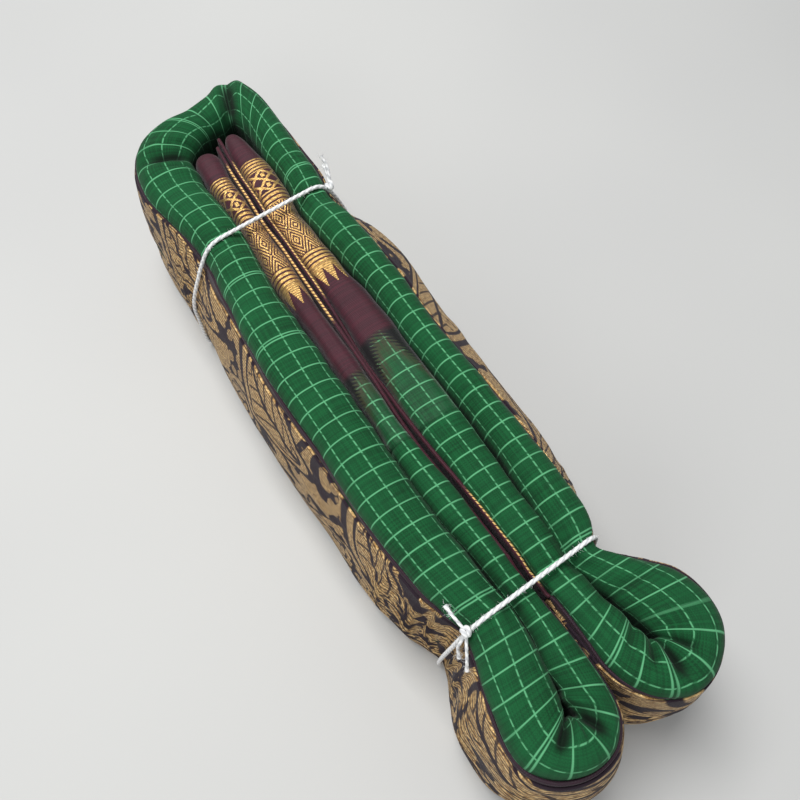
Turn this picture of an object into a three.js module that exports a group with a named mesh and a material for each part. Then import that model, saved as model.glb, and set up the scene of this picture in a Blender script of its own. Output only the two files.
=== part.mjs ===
// A folded cotton sari, tied with two strings and lying on a flat surface.
// Millimetres, +Z up, +X towards the two round loops, origin under the middle of the bundle.
// The cloth is folded in half along its length until it is a strip as long as the cloth is wide.
// The strip stands on edge. Both its ends are turned in to the middle, and then it is doubled over,
// so that seen from above it runs: left inner leg, left loop, left outer leg, far turn,
// right outer leg, right loop, right inner leg. Its outermost layers are the patterned end piece.

import * as THREE from "three";

// Driving dimensions
const CLOTH_LENGTH = 5500;
const LAYERS = 64;
const SLUMP = 0.932;
const HEIGHT = CLOTH_LENGTH / LAYERS * SLUMP;
const INNER_DROP = 3;
const LOOP_DROP = 1.5;
const BORDER_DROP = 5;
const END_WALL = 1.5;
const CLEAR = 0.3;
const STRING_DIAMETER = 1.8;
const TAIL_DIAMETER = 0.9 * STRING_DIAMETER;
const KNOT_DIAMETER = 4.6;
const FOOT_ROUND = 2.4;
const SWELL_REACH = 0.45;
const OUTER_CROWN = 11;
const INNER_CROWN = 6.5;
const CENTRE_WALL_RISE = 3;
const CENTRE_GAP = 2 * END_WALL + 3 * CLEAR;
const STEP = 11;

// How the sections are divided
const WALL_LEVELS = [0, 0.04, 0.13, 0.4, 0.65, 0.85, 1];
const CROWN_STEPS = 7;
const STRING_SIDES = 6;
const TURN_STEPS = 22;
const LOOP_STEPS = 26;
const HULL_STATIONS = 4;
const TAIL_STEPS = 5;
const SHORTEST_STRETCH = 0.6;
const STATION_SPACE = 0.4;

// Where the strings pass: over the top from the left edge to the right, and straight underneath
const farTie = { leftX: -79, rightX: -85, underX: -86, dip: 2 };
const nearTie = { leftX: 103, rightX: 98, underX: 101, dip: 3 };
const NOTCH_HEIGHT = STRING_DIAMETER + CLEAR + 0.2;
const NOTCH_HALF = 2;
const NOTCH_SLOPE = 2.5;
const DIP_REACH = 16;
const SIDE_LIMIT = 15;

// Where the legs meet the turn and the loops, and where the borders meet the checked cloth
const FAR_JOIN = -112;
const NEAR_JOIN = 107;
const BORDER_JOIN = -3;
const LEFT_TIP = -123;
const RIGHT_TIP = -128;
const TIP_LENGTH = 9;
const TIP_FULLNESS = 0.55;

// The rolls' edges at each station along the bundle, seen from above, and how far the sides swell below
const plan = [
  { x: -130, outerLeft: -44, creaseLeft: -21.2, centre: -6.4,
    creaseRight: 5.4, outerRight: 24, swellLeft: 4, swellRight: 4 },
  { x: -112, outerLeft: -44, creaseLeft: -20.8, centre: -7.2,
    creaseRight: 8.8, outerRight: 24.5, swellLeft: 4, swellRight: 4 },
  { x: -96, outerLeft: -40, creaseLeft: -19, centre: -7.0,
    creaseRight: 8.8, outerRight: 25, swellLeft: 8, swellRight: 5 },
  { x: -81, outerLeft: -37.5, creaseLeft: -18, centre: -6.8,
    creaseRight: 8, outerRight: 23.5, swellLeft: 9, swellRight: 7 },
  { x: -60, outerLeft: -39, creaseLeft: -18.5, centre: -6.3,
    creaseRight: 9.6, outerRight: 26, swellLeft: 9.5, swellRight: 10.5 },
  { x: -30, outerLeft: -40, creaseLeft: -17.8, centre: -5.6,
    creaseRight: 12.5, outerRight: 28, swellLeft: 8.5, swellRight: 10 },
  { x: 0, outerLeft: -40, creaseLeft: -17, centre: -5,
    creaseRight: 14.4, outerRight: 28.5, swellLeft: 7, swellRight: 9.5 },
  { x: 30, outerLeft: -37.5, creaseLeft: -15.5, centre: -3.6,
    creaseRight: 16.3, outerRight: 30.5, swellLeft: 7, swellRight: 9 },
  { x: 60, outerLeft: -36, creaseLeft: -13.5, centre: -0.8,
    creaseRight: 17.2, outerRight: 33, swellLeft: 7, swellRight: 6 },
  { x: 84, outerLeft: -32.5, creaseLeft: -10.6, centre: 1.3,
    creaseRight: 17.2, outerRight: 31, swellLeft: 5, swellRight: 5 },
  { x: 101, outerLeft: -26, creaseLeft: -8.3, centre: 2.9,
    creaseRight: 17.4, outerRight: 27.5, swellLeft: 3.5, swellRight: 4 },
  { x: 107, outerLeft: -27, creaseLeft: -8, centre: 3.3,
    creaseRight: 18.2, outerRight: 30, swellLeft: 4, swellRight: 5 },
];

// The far turn, from the left outer leg round to the right one: the roll's outer and inner edges
const farTurn = [
  { outerX: -112, outerY: -44, innerX: -112, innerY: -20.8, swell: 4 },
  { outerX: -124, outerY: -45.5, innerX: -121, innerY: -20.6, swell: 3 },
  { outerX: -136, outerY: -41.5, innerX: -128.5, innerY: -17.5, swell: 4 },
  { outerX: -144, outerY: -33.5, innerX: -132.5, innerY: -12.5, swell: 5 },
  { outerX: -149.5, outerY: -24, innerX: -134.5, innerY: -8, swell: 5.5 },
  { outerX: -153, outerY: -12, innerX: -136, innerY: -3.5, swell: 6 },
  { outerX: -156.5, outerY: 0, innerX: -136.8, innerY: 0, swell: 6 },
  { outerX: -159, outerY: 10, innerX: -136, innerY: 3.2, swell: 5 },
  { outerX: -157, outerY: 17, innerX: -133.5, innerY: 6, swell: 4 },
  { outerX: -149, outerY: 21, innerX: -129.5, innerY: 7.8, swell: 4 },
  { outerX: -132, outerY: 23.5, innerX: -122, innerY: 8.7, swell: 4 },
  { outerX: -112, outerY: 24.5, innerX: -112, innerY: 8.8, swell: 4 },
];

// The left loop, from the outer leg round to the inner one
const leftLoop = [
  { outerX: 107, outerY: -27, innerX: 107, innerY: -8.4, swell: 4 },
  { outerX: 116, outerY: -30.2, innerX: 116, innerY: -9.6, swell: 5.5 },
  { outerX: 126, outerY: -33.3, innerX: 126, innerY: -11.8, swell: 7 },
  { outerX: 138, outerY: -35.3, innerX: 134, innerY: -14.3, swell: 6 },
  { outerX: 147.5, outerY: -33.8, innerX: 138, innerY: -15.2, swell: 6 },
  { outerX: 155, outerY: -27, innerX: 140.3, innerY: -14.6, swell: 6 },
  { outerX: 158.6, outerY: -16, innerX: 141, innerY: -13, swell: 6.5 },
  { outerX: 156.5, outerY: -5.5, innerX: 140, innerY: -11.2, swell: 5 },
  { outerX: 149, outerY: 0.8, innerX: 137, innerY: -10.6, swell: 1.5 },
  { outerX: 139, outerY: 2.2, innerX: 132.5, innerY: -10.6, swell: 0 },
  { outerX: 126, outerY: 2.2, innerX: 124, innerY: -10, swell: 0 },
  { outerX: 116, outerY: 1.8, innerX: 116, innerY: -8.8, swell: 0 },
  { outerX: 107, outerY: 1.35, innerX: 107, innerY: -7.6, swell: 0 },
];

// The right loop, from the outer leg round to the inner one
const rightLoop = [
  { outerX: 107, outerY: 30, innerX: 107, innerY: 18.6, swell: 5 },
  { outerX: 115, outerY: 36, innerX: 114, innerY: 20.6, swell: 4.5 },
  { outerX: 124, outerY: 42, innerX: 121, innerY: 23.2, swell: 4 },
  { outerX: 134, outerY: 45.3, innerX: 128, innerY: 26.2, swell: 3.5 },
  { outerX: 144, outerY: 43.5, innerX: 133, innerY: 27.8, swell: 3.5 },
  { outerX: 151, outerY: 37, innerX: 135.6, innerY: 27.6, swell: 4 },
  { outerX: 153.6, outerY: 27, innerX: 136.4, innerY: 25.8, swell: 4.5 },
  { outerX: 150, outerY: 17, innerX: 134.8, innerY: 23.6, swell: 3.5 },
  { outerX: 143, outerY: 9.8, innerX: 130.6, innerY: 22, swell: 1.5 },
  { outerX: 135, outerY: 6.4, innerX: 125.6, innerY: 20.8, swell: 0 },
  { outerX: 126, outerY: 6.0, innerX: 120, innerY: 19.8, swell: 0 },
  { outerX: 116, outerY: 5.6, innerX: 114, innerY: 18.8, swell: 0 },
  { outerX: 107, outerY: 5.15, innerX: 107, innerY: 17.8, swell: 0 },
];

// A smooth curve through the rows' values of one column: each stretch is a cubic whose end slopes
// are those of the lines between its neighbours.
function through(rows, keyOf, column, key) {
  const last = rows.length - 2;
  let index = rows.findIndex((row, at) => at <= last && key <= keyOf(rows[at + 1], at + 1));
  if (index < 0) index = last;
  const before = rows[Math.max(index - 1, 0)];
  const start = rows[index];
  const end = rows[index + 1];
  const after = rows[Math.min(index + 2, rows.length - 1)];
  const keys = [Math.max(index - 1, 0), index, index + 1, Math.min(index + 2, rows.length - 1)]
    .map((at) => keyOf(rows[at], at));
  const length = keys[2] - keys[1];
  const slopeIn = (end[column] - before[column]) / (keys[2] - keys[0]) * length;
  const slopeOut = (after[column] - start[column]) / (keys[3] - keys[1]) * length;
  const part = (key - keys[1]) / length;
  const square = part * part;
  const cube = square * part;
  return (2 * cube - 3 * square + 1) * start[column] + (cube - 2 * square + part) * slopeIn
    + (3 * square - 2 * cube) * end[column] + (cube - square) * slopeOut;
}

function planAt(x) {
  const found = {};
  for (const column of Object.keys(plan[0])) {
    found[column] = through(plan, (row) => row.x, column, x);
  }
  return found;
}

// How much the strings press the top down at x
function dipAt(x) {
  let dip = 0;
  for (const tie of [farTie, nearTie]) {
    const middle = (tie.leftX + tie.rightX) / 2;
    const near = Math.max(0, 1 - Math.abs(x - middle) / DIP_REACH);
    dip += tie.dip * near * near * (3 - 2 * near);
  }
  return dip;
}

// The underside lies on the surface, apart from the groove that each string's lower run lies in
function footAt(x) {
  let foot = 0;
  for (const tie of [farTie, nearTie]) {
    const away = Math.abs(x - tie.underX) - NOTCH_HALF;
    foot = Math.max(foot, NOTCH_HEIGHT * THREE.MathUtils.clamp(1 - away / NOTCH_SLOPE, 0, 1));
  }
  return foot;
}

// Stations along a leg: even steps, with the edges of the strings' grooves added
function stationsAlong(from, to) {
  const count = Math.round((to - from) / STEP);
  const stations = [];
  for (let index = 0; index <= count; index++) stations.push(from + (to - from) * index / count);
  for (const tie of [farTie, nearTie]) {
    for (const offset of [NOTCH_HALF, NOTCH_HALF + NOTCH_SLOPE]) {
      for (const x of [tie.underX - offset, tie.underX + offset]) {
        const nearest = Math.min(...stations.map((station) => Math.abs(station - x)));
        if (x > from && x < to && nearest > STATION_SPACE) stations.push(x);
      }
    }
  }
  return stations.sort((one, other) => one - other);
}

// How far a wall stands out at a level from 0, its foot, to 1, where the round top starts:
// it swells as a quarter sine below the top and turns in at the foot as a quarter circle.
function wallOut(level, swell) {
  const outward = swell * Math.sin(Math.PI / 2 * Math.min(1, (1 - level) / SWELL_REACH));
  const lift = Math.min(1, level / WALL_LEVELS[2]);
  return outward - FOOT_ROUND * (1 - Math.sqrt(1 - (1 - lift) ** 2));
}

// One cross section of a stretch: outer and inner are the roll's edges seen from above
function makeSection(outer, inner, top, crown, swell, foot = 0) {
  const across = new THREE.Vector2().subVectors(inner, outer);
  const width = across.length();
  across.divideScalar(width);
  return { outer, across, width, top, crown, swell, foot };
}

function pointOn(section, away, z) {
  return new THREE.Vector3(
    section.outer.x + section.across.x * away,
    section.outer.y + section.across.y * away,
    z,
  );
}

function wallHeight(section, level) {
  return section.foot + level * (section.top - section.crown - section.foot);
}

// The outline of a folded stack: up the outer wall, over the round top and down the inner wall
function stackRing(section) {
  const ring = WALL_LEVELS.map((level) => (
    pointOn(section, -wallOut(level, section.swell), wallHeight(section, level))
  ));
  for (let step = 1; step < CROWN_STEPS; step++) {
    const turn = Math.PI * step / CROWN_STEPS;
    const away = section.width * (1 - Math.cos(turn)) / 2;
    ring.push(pointOn(section, away, section.top - section.crown * (1 - Math.sin(turn))));
  }
  for (const level of [...WALL_LEVELS].reverse()) {
    ring.push(pointOn(section, section.width + wallOut(level, 0), wallHeight(section, level)));
  }
  return ring;
}

// The outline of the end piece's wall, which lies on a stack's outer side
function wallRing(section, rise) {
  const line = (away) => {
    const points = WALL_LEVELS.map((level) => (
      pointOn(section, -wallOut(level, section.swell) - away, wallHeight(section, level))
    ));
    if (rise > 0) points.push(pointOn(section, -away, wallHeight(section, 1) + rise));
    return points;
  };
  return [...line(CLEAR), ...line(CLEAR + END_WALL).reverse()];
}

// Skins a row of outlines. The ends are closed flat, unless the row closes on itself.
function skin(rings, closed = false) {
  const size = rings[0].length;
  const positions = rings.flat().flatMap((point) => [point.x, point.y, point.z]);
  const faces = [];
  const rows = closed ? rings.length : rings.length - 1;
  for (let row = 0; row < rows; row++) {
    const next = (row + 1) % rings.length;
    for (let index = 0; index < size; index++) {
      const beside = (index + 1) % size;
      const a = row * size + index;
      const b = row * size + beside;
      const c = next * size + beside;
      const d = next * size + index;
      faces.push([a, b, c], [a, c, d]);
    }
  }
  if (!closed) {
    for (const row of [0, rings.length - 1]) {
      const ring = rings[row];
      const last = ring[size - 1];
      const along = new THREE.Vector2(last.x - ring[0].x, last.y - ring[0].y).normalize();
      const flat = ring.map((point) => (
        new THREE.Vector2(point.x * along.x + point.y * along.y, point.z)
      ));
      const reversed = THREE.ShapeUtils.isClockWise(flat);
      for (const face of THREE.ShapeUtils.triangulateShape(flat, [])) {
        const turned = (row === 0) !== reversed ? [face[0], face[2], face[1]] : face;
        faces.push(turned.map((index) => row * size + index));
      }
    }
  }
  return closedGeometry(positions, faces);
}

// Makes the geometry, with its faces turned outwards
function closedGeometry(positions, faces) {
  const corner = (index) => new THREE.Vector3().fromArray(positions, index * 3);
  let volume = 0;
  for (const [a, b, c] of faces) volume += corner(a).dot(corner(b).cross(corner(c))) / 6;
  const outward = volume > 0 ? faces : faces.map(([a, b, c]) => [a, c, b]);
  const geometry = new THREE.BufferGeometry();
  geometry.setAttribute("position", new THREE.Float32BufferAttribute(positions, 3));
  geometry.setIndex(outward.flat());
  geometry.computeVertexNormals();
  return geometry;
}

const materials = {
  checkedCotton: new THREE.MeshStandardMaterial({ color: 0x0f5a2c, roughness: 0.85, metalness: 0 }),
  border: new THREE.MeshStandardMaterial({ color: 0x4a1520, roughness: 0.6, metalness: 0 }),
  endPiece: new THREE.MeshStandardMaterial({ color: 0x8a6a34, roughness: 0.6, metalness: 0.2 }),
  string: new THREE.MeshStandardMaterial({ color: 0xf1efe9, roughness: 0.9, metalness: 0 }),
};

const sari = new THREE.Group();

function addPiece(name, geometry, material) {
  const mesh = new THREE.Mesh(geometry, material);
  mesh.name = name;
  sari.add(mesh);
}

// Legs
function outerLegSections(side, from, to) {
  return stationsAlong(from, to).map((x) => {
    const row = planAt(x);
    const left = side === "left";
    const edge = left ? row.outerLeft : row.outerRight;
    const crease = left ? row.creaseLeft - CLEAR / 2 : row.creaseRight + CLEAR / 2;
    const swell = left ? row.swellLeft : row.swellRight;
    const outer = new THREE.Vector2(x, edge);
    const inner = new THREE.Vector2(x, crease);
    return makeSection(outer, inner, HEIGHT - dipAt(x), OUTER_CROWN, swell, footAt(x));
  });
}

// An inner leg lies between its crease and the gap in the middle.
// Towards a free end it narrows and sinks.
function innerLegSections(side, from, to, drop, tipX) {
  return stationsAlong(from, to).map((x) => {
    const row = planAt(x);
    const left = side === "left";
    const gapEdge = row.centre + (left ? -1 : 1) * (CENTRE_GAP + CLEAR) / 2;
    const crease = left ? row.creaseLeft + CLEAR / 2 : row.creaseRight - CLEAR / 2;
    const round = tipX === undefined ? 1 : roundedTip((x - tipX) / TIP_LENGTH);
    const middle = (gapEdge + crease) / 2;
    const outer = new THREE.Vector2(x, middle + (gapEdge - middle) * round);
    const inner = new THREE.Vector2(x, middle + (crease - middle) * round);
    const top = HEIGHT - drop - dipAt(x) - (1 - round) * INNER_CROWN;
    return makeSection(outer, inner, top, INNER_CROWN * round, 0, footAt(x));
  });
}

// A quarter ellipse, from just over half its full size at the very tip
function roundedTip(part) {
  const along = THREE.MathUtils.clamp(part, 0, 1);
  return TIP_FULLNESS + (1 - TIP_FULLNESS) * Math.sqrt(1 - (1 - along) ** 2);
}

// Turns and loops
function turnSections(rows, steps, sink, crownOuter, crownInner) {
  const sections = [];
  for (let step = 0; step <= steps; step++) {
    const key = step / steps * (rows.length - 1);
    const value = (column) => through(rows, (row, at) => at, column, key);
    const outer = new THREE.Vector2(value("outerX"), value("outerY"));
    const inner = new THREE.Vector2(value("innerX"), value("innerY"));
    const crown = THREE.MathUtils.lerp(crownOuter, crownInner, step / steps);
    const drop = THREE.MathUtils.lerp(sink.start, sink.end, step / steps);
    sections.push(makeSection(outer, inner, HEIGHT - drop, crown, value("swell")));
  }
  return sections;
}

const joint = CLEAR / 2;
const nearDip = dipAt(NEAR_JOIN);
const level = { start: 0, end: 0 };
const sinking = { start: nearDip, end: INNER_DROP + nearDip };
const stretches = {
  outer_left: outerLegSections("left", FAR_JOIN + joint, NEAR_JOIN - joint),
  outer_right: outerLegSections("right", FAR_JOIN + joint, NEAR_JOIN - joint),
  inner_left: innerLegSections("left", BORDER_JOIN + joint, NEAR_JOIN - joint, INNER_DROP),
  inner_right: innerLegSections("right", BORDER_JOIN + joint, NEAR_JOIN - joint, INNER_DROP),
  far_turn: turnSections(farTurn, TURN_STEPS, level, OUTER_CROWN, OUTER_CROWN),
  left_loop: turnSections(leftLoop, LOOP_STEPS, sinking, OUTER_CROWN, INNER_CROWN),
  right_loop: turnSections(rightLoop, LOOP_STEPS, sinking, OUTER_CROWN, INNER_CROWN),
};
const borders = {
  inner_left: innerLegSections("left", LEFT_TIP, BORDER_JOIN - joint, BORDER_DROP, LEFT_TIP),
  inner_right: innerLegSections("right", RIGHT_TIP, BORDER_JOIN - joint, BORDER_DROP, RIGHT_TIP),
};

// The loops stand a little above the waist that the near string makes
for (const name of ["left_loop", "right_loop"]) {
  const sections = stretches[name];
  sections.forEach((section, index) => {
    const round = Math.max(0, Math.sin(Math.PI * index / (sections.length - 1)));
    section.top += (nearDip - LOOP_DROP + INNER_DROP / 2) * Math.sqrt(round);
  });
}

// The turn and the loops stop a hair short of the legs they join
for (const name of ["far_turn", "left_loop", "right_loop"]) {
  const sections = stretches[name];
  const away = name === "far_turn" ? -joint : joint;
  sections[0].outer.x += away;
  sections[sections.length - 1].outer.x += away;
}

for (const [name, sections] of Object.entries(stretches)) {
  addPiece(`body_${name}`, skin(sections.map(stackRing)), materials.checkedCotton);
}
for (const [name, sections] of Object.entries(borders)) {
  addPiece(`border_${name}`, skin(sections.map(stackRing)), materials.border);
}

// The end piece's walls
for (const name of ["outer_left", "outer_right", "far_turn", "left_loop", "right_loop"]) {
  const rings = stretches[name].map((section) => wallRing(section, 0));
  addPiece(`pallu_${name}`, skin(rings), materials.endPiece);
}
for (const side of ["left", "right"]) {
  const tip = side === "left" ? LEFT_TIP : RIGHT_TIP;
  const sections = innerLegSections(side, tip + TIP_LENGTH, NEAR_JOIN - joint, INNER_DROP);
  const rings = sections.map((section) => wallRing(section, CENTRE_WALL_RISE));
  addPiece(`pallu_inner_${side}`, skin(rings), materials.endPiece);
}

// The convex hull of points in the plane, going round anticlockwise
function hullOf(points) {
  const sorted = [...points].sort((one, other) => one.x - other.x || one.y - other.y);
  const turn = (a, b, c) => (b.x - a.x) * (c.y - a.y) - (b.y - a.y) * (c.x - a.x);
  const half = (list) => {
    const chain = [];
    for (const point of list) {
      while (chain.length > 1 && turn(chain.at(-2), chain.at(-1), point) <= 1e-6) chain.pop();
      chain.push(point);
    }
    return chain.slice(0, -1);
  };
  return [...half(sorted), ...half(sorted.reverse())];
}

// A taut string follows the hull of the bundle's cross section, just clear of it.
// Each corner of the hull is rounded by the string's own distance from it.
function tieCentre(tie) {
  const points = [];
  const low = Math.min(tie.leftX, tie.rightX, tie.underX) - 1;
  const high = Math.max(tie.leftX, tie.rightX, tie.underX) + 1;
  for (let step = 0; step <= HULL_STATIONS; step++) {
    const x = low + (high - low) * step / HULL_STATIONS;
    for (const side of ["left", "right"]) {
      const row = planAt(x);
      const left = side === "left";
      const outer = new THREE.Vector2(x, left ? row.outerLeft : row.outerRight);
      const inner = new THREE.Vector2(x, left ? row.creaseLeft : row.creaseRight);
      const swell = left ? row.swellLeft : row.swellRight;
      const section = makeSection(outer, inner, HEIGHT - dipAt(x), OUTER_CROWN, swell, NOTCH_HEIGHT);
      for (const point of [...stackRing(section), ...wallRing(section, 0)]) {
        points.push(new THREE.Vector2(point.y, point.z));
      }
    }
  }
  const hull = hullOf(points);
  const away = STRING_DIAMETER / 2 + CLEAR;
  const path = [];
  hull.forEach((point, index) => {
    const before = hull[(index + hull.length - 1) % hull.length];
    const after = hull[(index + 1) % hull.length];
    const edges = [[before, point], [point, after]];
    for (const [from, to] of edges) {
      const edge = new THREE.Vector2().subVectors(to, from);
      const normal = new THREE.Vector2(edge.y, -edge.x).normalize();
      path.push(new THREE.Vector2(point.x + normal.x * away, point.y + normal.y * away));
    }
  });
  const kept = path.filter((point, index) => point.distanceTo(path[(index + 1) % path.length]) > SHORTEST_STRETCH);
  const width = Math.max(...kept.map((point) => point.x)) - Math.min(...kept.map((point) => point.x));
  const leftY = Math.min(...kept.map((point) => point.x));
  return kept.map((point) => {
    const share = (point.x - leftY) / width;
    const overTop = THREE.MathUtils.lerp(tie.leftX, tie.rightX, share);
    const height = THREE.MathUtils.smoothstep(point.y, NOTCH_HEIGHT, HEIGHT - OUTER_CROWN);
    return new THREE.Vector3(THREE.MathUtils.lerp(tie.underX, overTop, height), point.x, point.y);
  });
}

// Carries a regular polygon along a path of points.
// Each section lies in the plane that halves the corner.
function stringAlong(points, diameter, closed) {
  const rings = points.map((point, index) => {
    const last = points.length - 1;
    const before = closed ? points[(index + last) % points.length] : points[Math.max(index - 1, 0)];
    const after = closed ? points[(index + 1) % points.length] : points[Math.min(index + 1, last)];
    const ahead = new THREE.Vector3().subVectors(after, before).normalize();
    const side = Math.abs(ahead.x) < 0.9 ? new THREE.Vector3(1, 0, 0) : new THREE.Vector3(0, 1, 0);
    const across = new THREE.Vector3().crossVectors(ahead, side).normalize();
    const third = new THREE.Vector3().crossVectors(ahead, across);
    const ring = [];
    for (let corner = 0; corner < STRING_SIDES; corner++) {
      const turn = 2 * Math.PI * (corner + 0.5) / STRING_SIDES;
      ring.push(point.clone()
        .addScaledVector(across, diameter / 2 * Math.cos(turn))
        .addScaledVector(third, diameter / 2 * Math.sin(turn)));
    }
    return ring;
  });
  return skin(rings, closed);
}

const tiePaths = { far: tieCentre(farTie), near: tieCentre(nearTie) };
for (const [name, path] of Object.entries(tiePaths)) {
  addPiece(`tie_${name}`, stringAlong(path, STRING_DIAMETER, true), materials.string);
}

// Where a knot sits: against the string's outer side, at a height on the left or the right
function knotSeat(path, side, height) {
  const onSide = (point) => (side === "left" ? point.y < -SIDE_LIMIT : point.y > SIDE_LIMIT);
  const away = (point) => (onSide(point) ? Math.abs(point.z - height) : Infinity);
  const index = path.reduce((best, point, at) => (away(point) < away(path[best]) ? at : best), 0);
  const before = path[(index + path.length - 1) % path.length];
  const after = path[(index + 1) % path.length];
  const along = new THREE.Vector3().subVectors(after, before);
  const outward = new THREE.Vector3(0, along.z, -along.y).normalize();
  return path[index].clone().addScaledVector(outward, (STRING_DIAMETER + KNOT_DIAMETER) / 2 + CLEAR);
}

// The knots' short ends lie from them over the bundle's edge
const knots = [
  { name: "near", side: "left", height: 74, ends: [
    [[-2.6, -0.7, 1.4], [-7, -1.2, 2.6], [-11, -1.8, 2.2]],
    [[0.9, -2.7, -2.1], [2.2, -4.2, -7.5], [4.6, -5, -12.5]],
    [[2.4, -1.4, -2.2], [6, -3.2, -6.5], [9.5, -5, -10.5]],
  ] },
  { name: "far", side: "right", height: 74, ends: [
    [[-1.6, 1, 2.6], [-4.5, 1.8, 6.5], [-8.5, 1, 10]],
    [[-2.8, 0.8, 0.6], [-6.8, 1.8, 2], [-10.5, 2.6, 1]],
  ] },
];
for (const knot of knots) {
  const ball = new THREE.SphereGeometry(KNOT_DIAMETER / 2, 10, 8);
  const centre = knotSeat(tiePaths[knot.name], knot.side, knot.height);
  const geometry = weldedSphere(ball, centre);
  addPiece(`knot_${knot.name}`, geometry, materials.string);
  knot.ends.forEach((route, index) => {
    const points = route.map(([x, y, z]) => new THREE.Vector3(x, y, z).add(centre));
    const curve = new THREE.CatmullRomCurve3(points);
    const tail = stringAlong(curve.getPoints(TAIL_STEPS), TAIL_DIAMETER, false);
    addPiece(`tail_${knot.name}_${index + 1}`, tail, materials.string);
  });
}

// Welds a sphere's seam and poles, and moves it to its place
function weldedSphere(ball, centre) {
  const source = ball.toNonIndexed().getAttribute("position");
  const found = new Map();
  const positions = [];
  const corners = [];
  for (let index = 0; index < source.count; index++) {
    const point = new THREE.Vector3().fromBufferAttribute(source, index);
    const key = point.toArray().map((value) => Math.round(value * 1e4)).join();
    if (!found.has(key)) {
      found.set(key, positions.length / 3);
      positions.push(point.x + centre.x, point.y + centre.y, point.z + centre.z);
    }
    corners.push(found.get(key));
  }
  const faces = [];
  for (let index = 0; index < corners.length; index += 3) {
    const face = corners.slice(index, index + 3);
    if (new Set(face).size === 3) faces.push(face);
  }
  return closedGeometry(positions, faces);
}

// The origin goes under the middle of the whole
const whole = new THREE.Box3().setFromObject(sari);
const middle = whole.getCenter(new THREE.Vector3());
sari.position.set(-middle.x, -middle.y, -whole.min.z);
sari.updateMatrixWorld(true);

export default sari;
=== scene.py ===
"""A folded cotton sari: a checked green strip that stands on edge, doubled over and tied with two strings.

Lengths in the tables and functions are millimetres on the bundle's own plan, +X towards the round loops.
The meshes are made in metres. PLAN_SHIFT moves the plan so that the origin is under the bundle's middle.
"""

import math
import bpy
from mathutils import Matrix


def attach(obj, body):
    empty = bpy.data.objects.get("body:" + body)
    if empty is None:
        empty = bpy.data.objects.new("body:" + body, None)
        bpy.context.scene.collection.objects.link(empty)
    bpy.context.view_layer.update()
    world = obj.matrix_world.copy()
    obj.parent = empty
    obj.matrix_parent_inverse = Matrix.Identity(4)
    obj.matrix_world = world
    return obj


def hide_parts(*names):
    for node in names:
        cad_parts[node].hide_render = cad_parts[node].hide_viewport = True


bl_info = {
    "name": "Folded Cotton Sari",
    "version": (1, 0, 0),
    "blender": (4, 5, 0),
    "location": "View3D > Sidebar > Sari",
    "description": "Builds a folded, tied cotton sari with its checked cloth, border and end piece",
    "category": "Add Mesh",
}

import bpy
import numpy as np
from bpy.props import FloatProperty, FloatVectorProperty, PointerProperty
from mathutils import Matrix, Vector

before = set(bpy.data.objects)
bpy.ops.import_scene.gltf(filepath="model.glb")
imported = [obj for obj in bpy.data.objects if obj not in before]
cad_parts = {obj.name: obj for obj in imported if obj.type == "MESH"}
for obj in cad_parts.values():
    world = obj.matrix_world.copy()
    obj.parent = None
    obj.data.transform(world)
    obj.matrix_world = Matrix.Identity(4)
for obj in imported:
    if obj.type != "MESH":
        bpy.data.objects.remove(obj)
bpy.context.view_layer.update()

MM = 0.001
HEIGHT = 80.1
PLAN_SHIFT = (-0.63, 0.23)
END_WALL = 1.5
CLEAR = 0.3
OUTER_CROWN = 11.0
INNER_CROWN = 7.0
INNER_DROP = 3.0
BORDER_DROP = 4.2
LOOP_RISE = 3.0
BORDER_END = 34.0
LEFT_TIP = -131.0
RIGHT_TIP = -135.5
PLAN_START = -130.0
CENTRE_GAP = 3.9
FAR_STRING = {"left": -79.0, "right": -85.0, "under": -86.0, "dip": 2.0}
NEAR_STRING = {"left": 103.0, "right": 98.0, "under": 101.0, "dip": 3.0}

SWELL_REACH = 0.45
FOOT_ROUND = 2.4
FOOT_SHARE = 0.12
DIP_REACH = 16.0
CROWN_POWER = 0.86
SIDE_LIMIT = 15.0
KNOT_HEIGHT = 74.0
PLY_LENGTH = 4.2

# Spacings in the cloth: the plain weave, the border's ribs, and the end piece's cords and rows of leaves
WEAVE_PITCH = 0.55
BROAD_WEAVE_PITCH = 0.95
RIB_PITCH = 0.62
CORD_PITCH = 1.45
LEAF_SPACING = 76.0
LEAF_ROW = 44.0
BORDER_REPEAT = 7.4
GOLD_STRETCH = 0.86

PLAN_COLUMNS = (
    "x", "outer_left", "crease_left", "centre", "crease_right", "outer_right", "swell_left", "swell_right",
)
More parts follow.
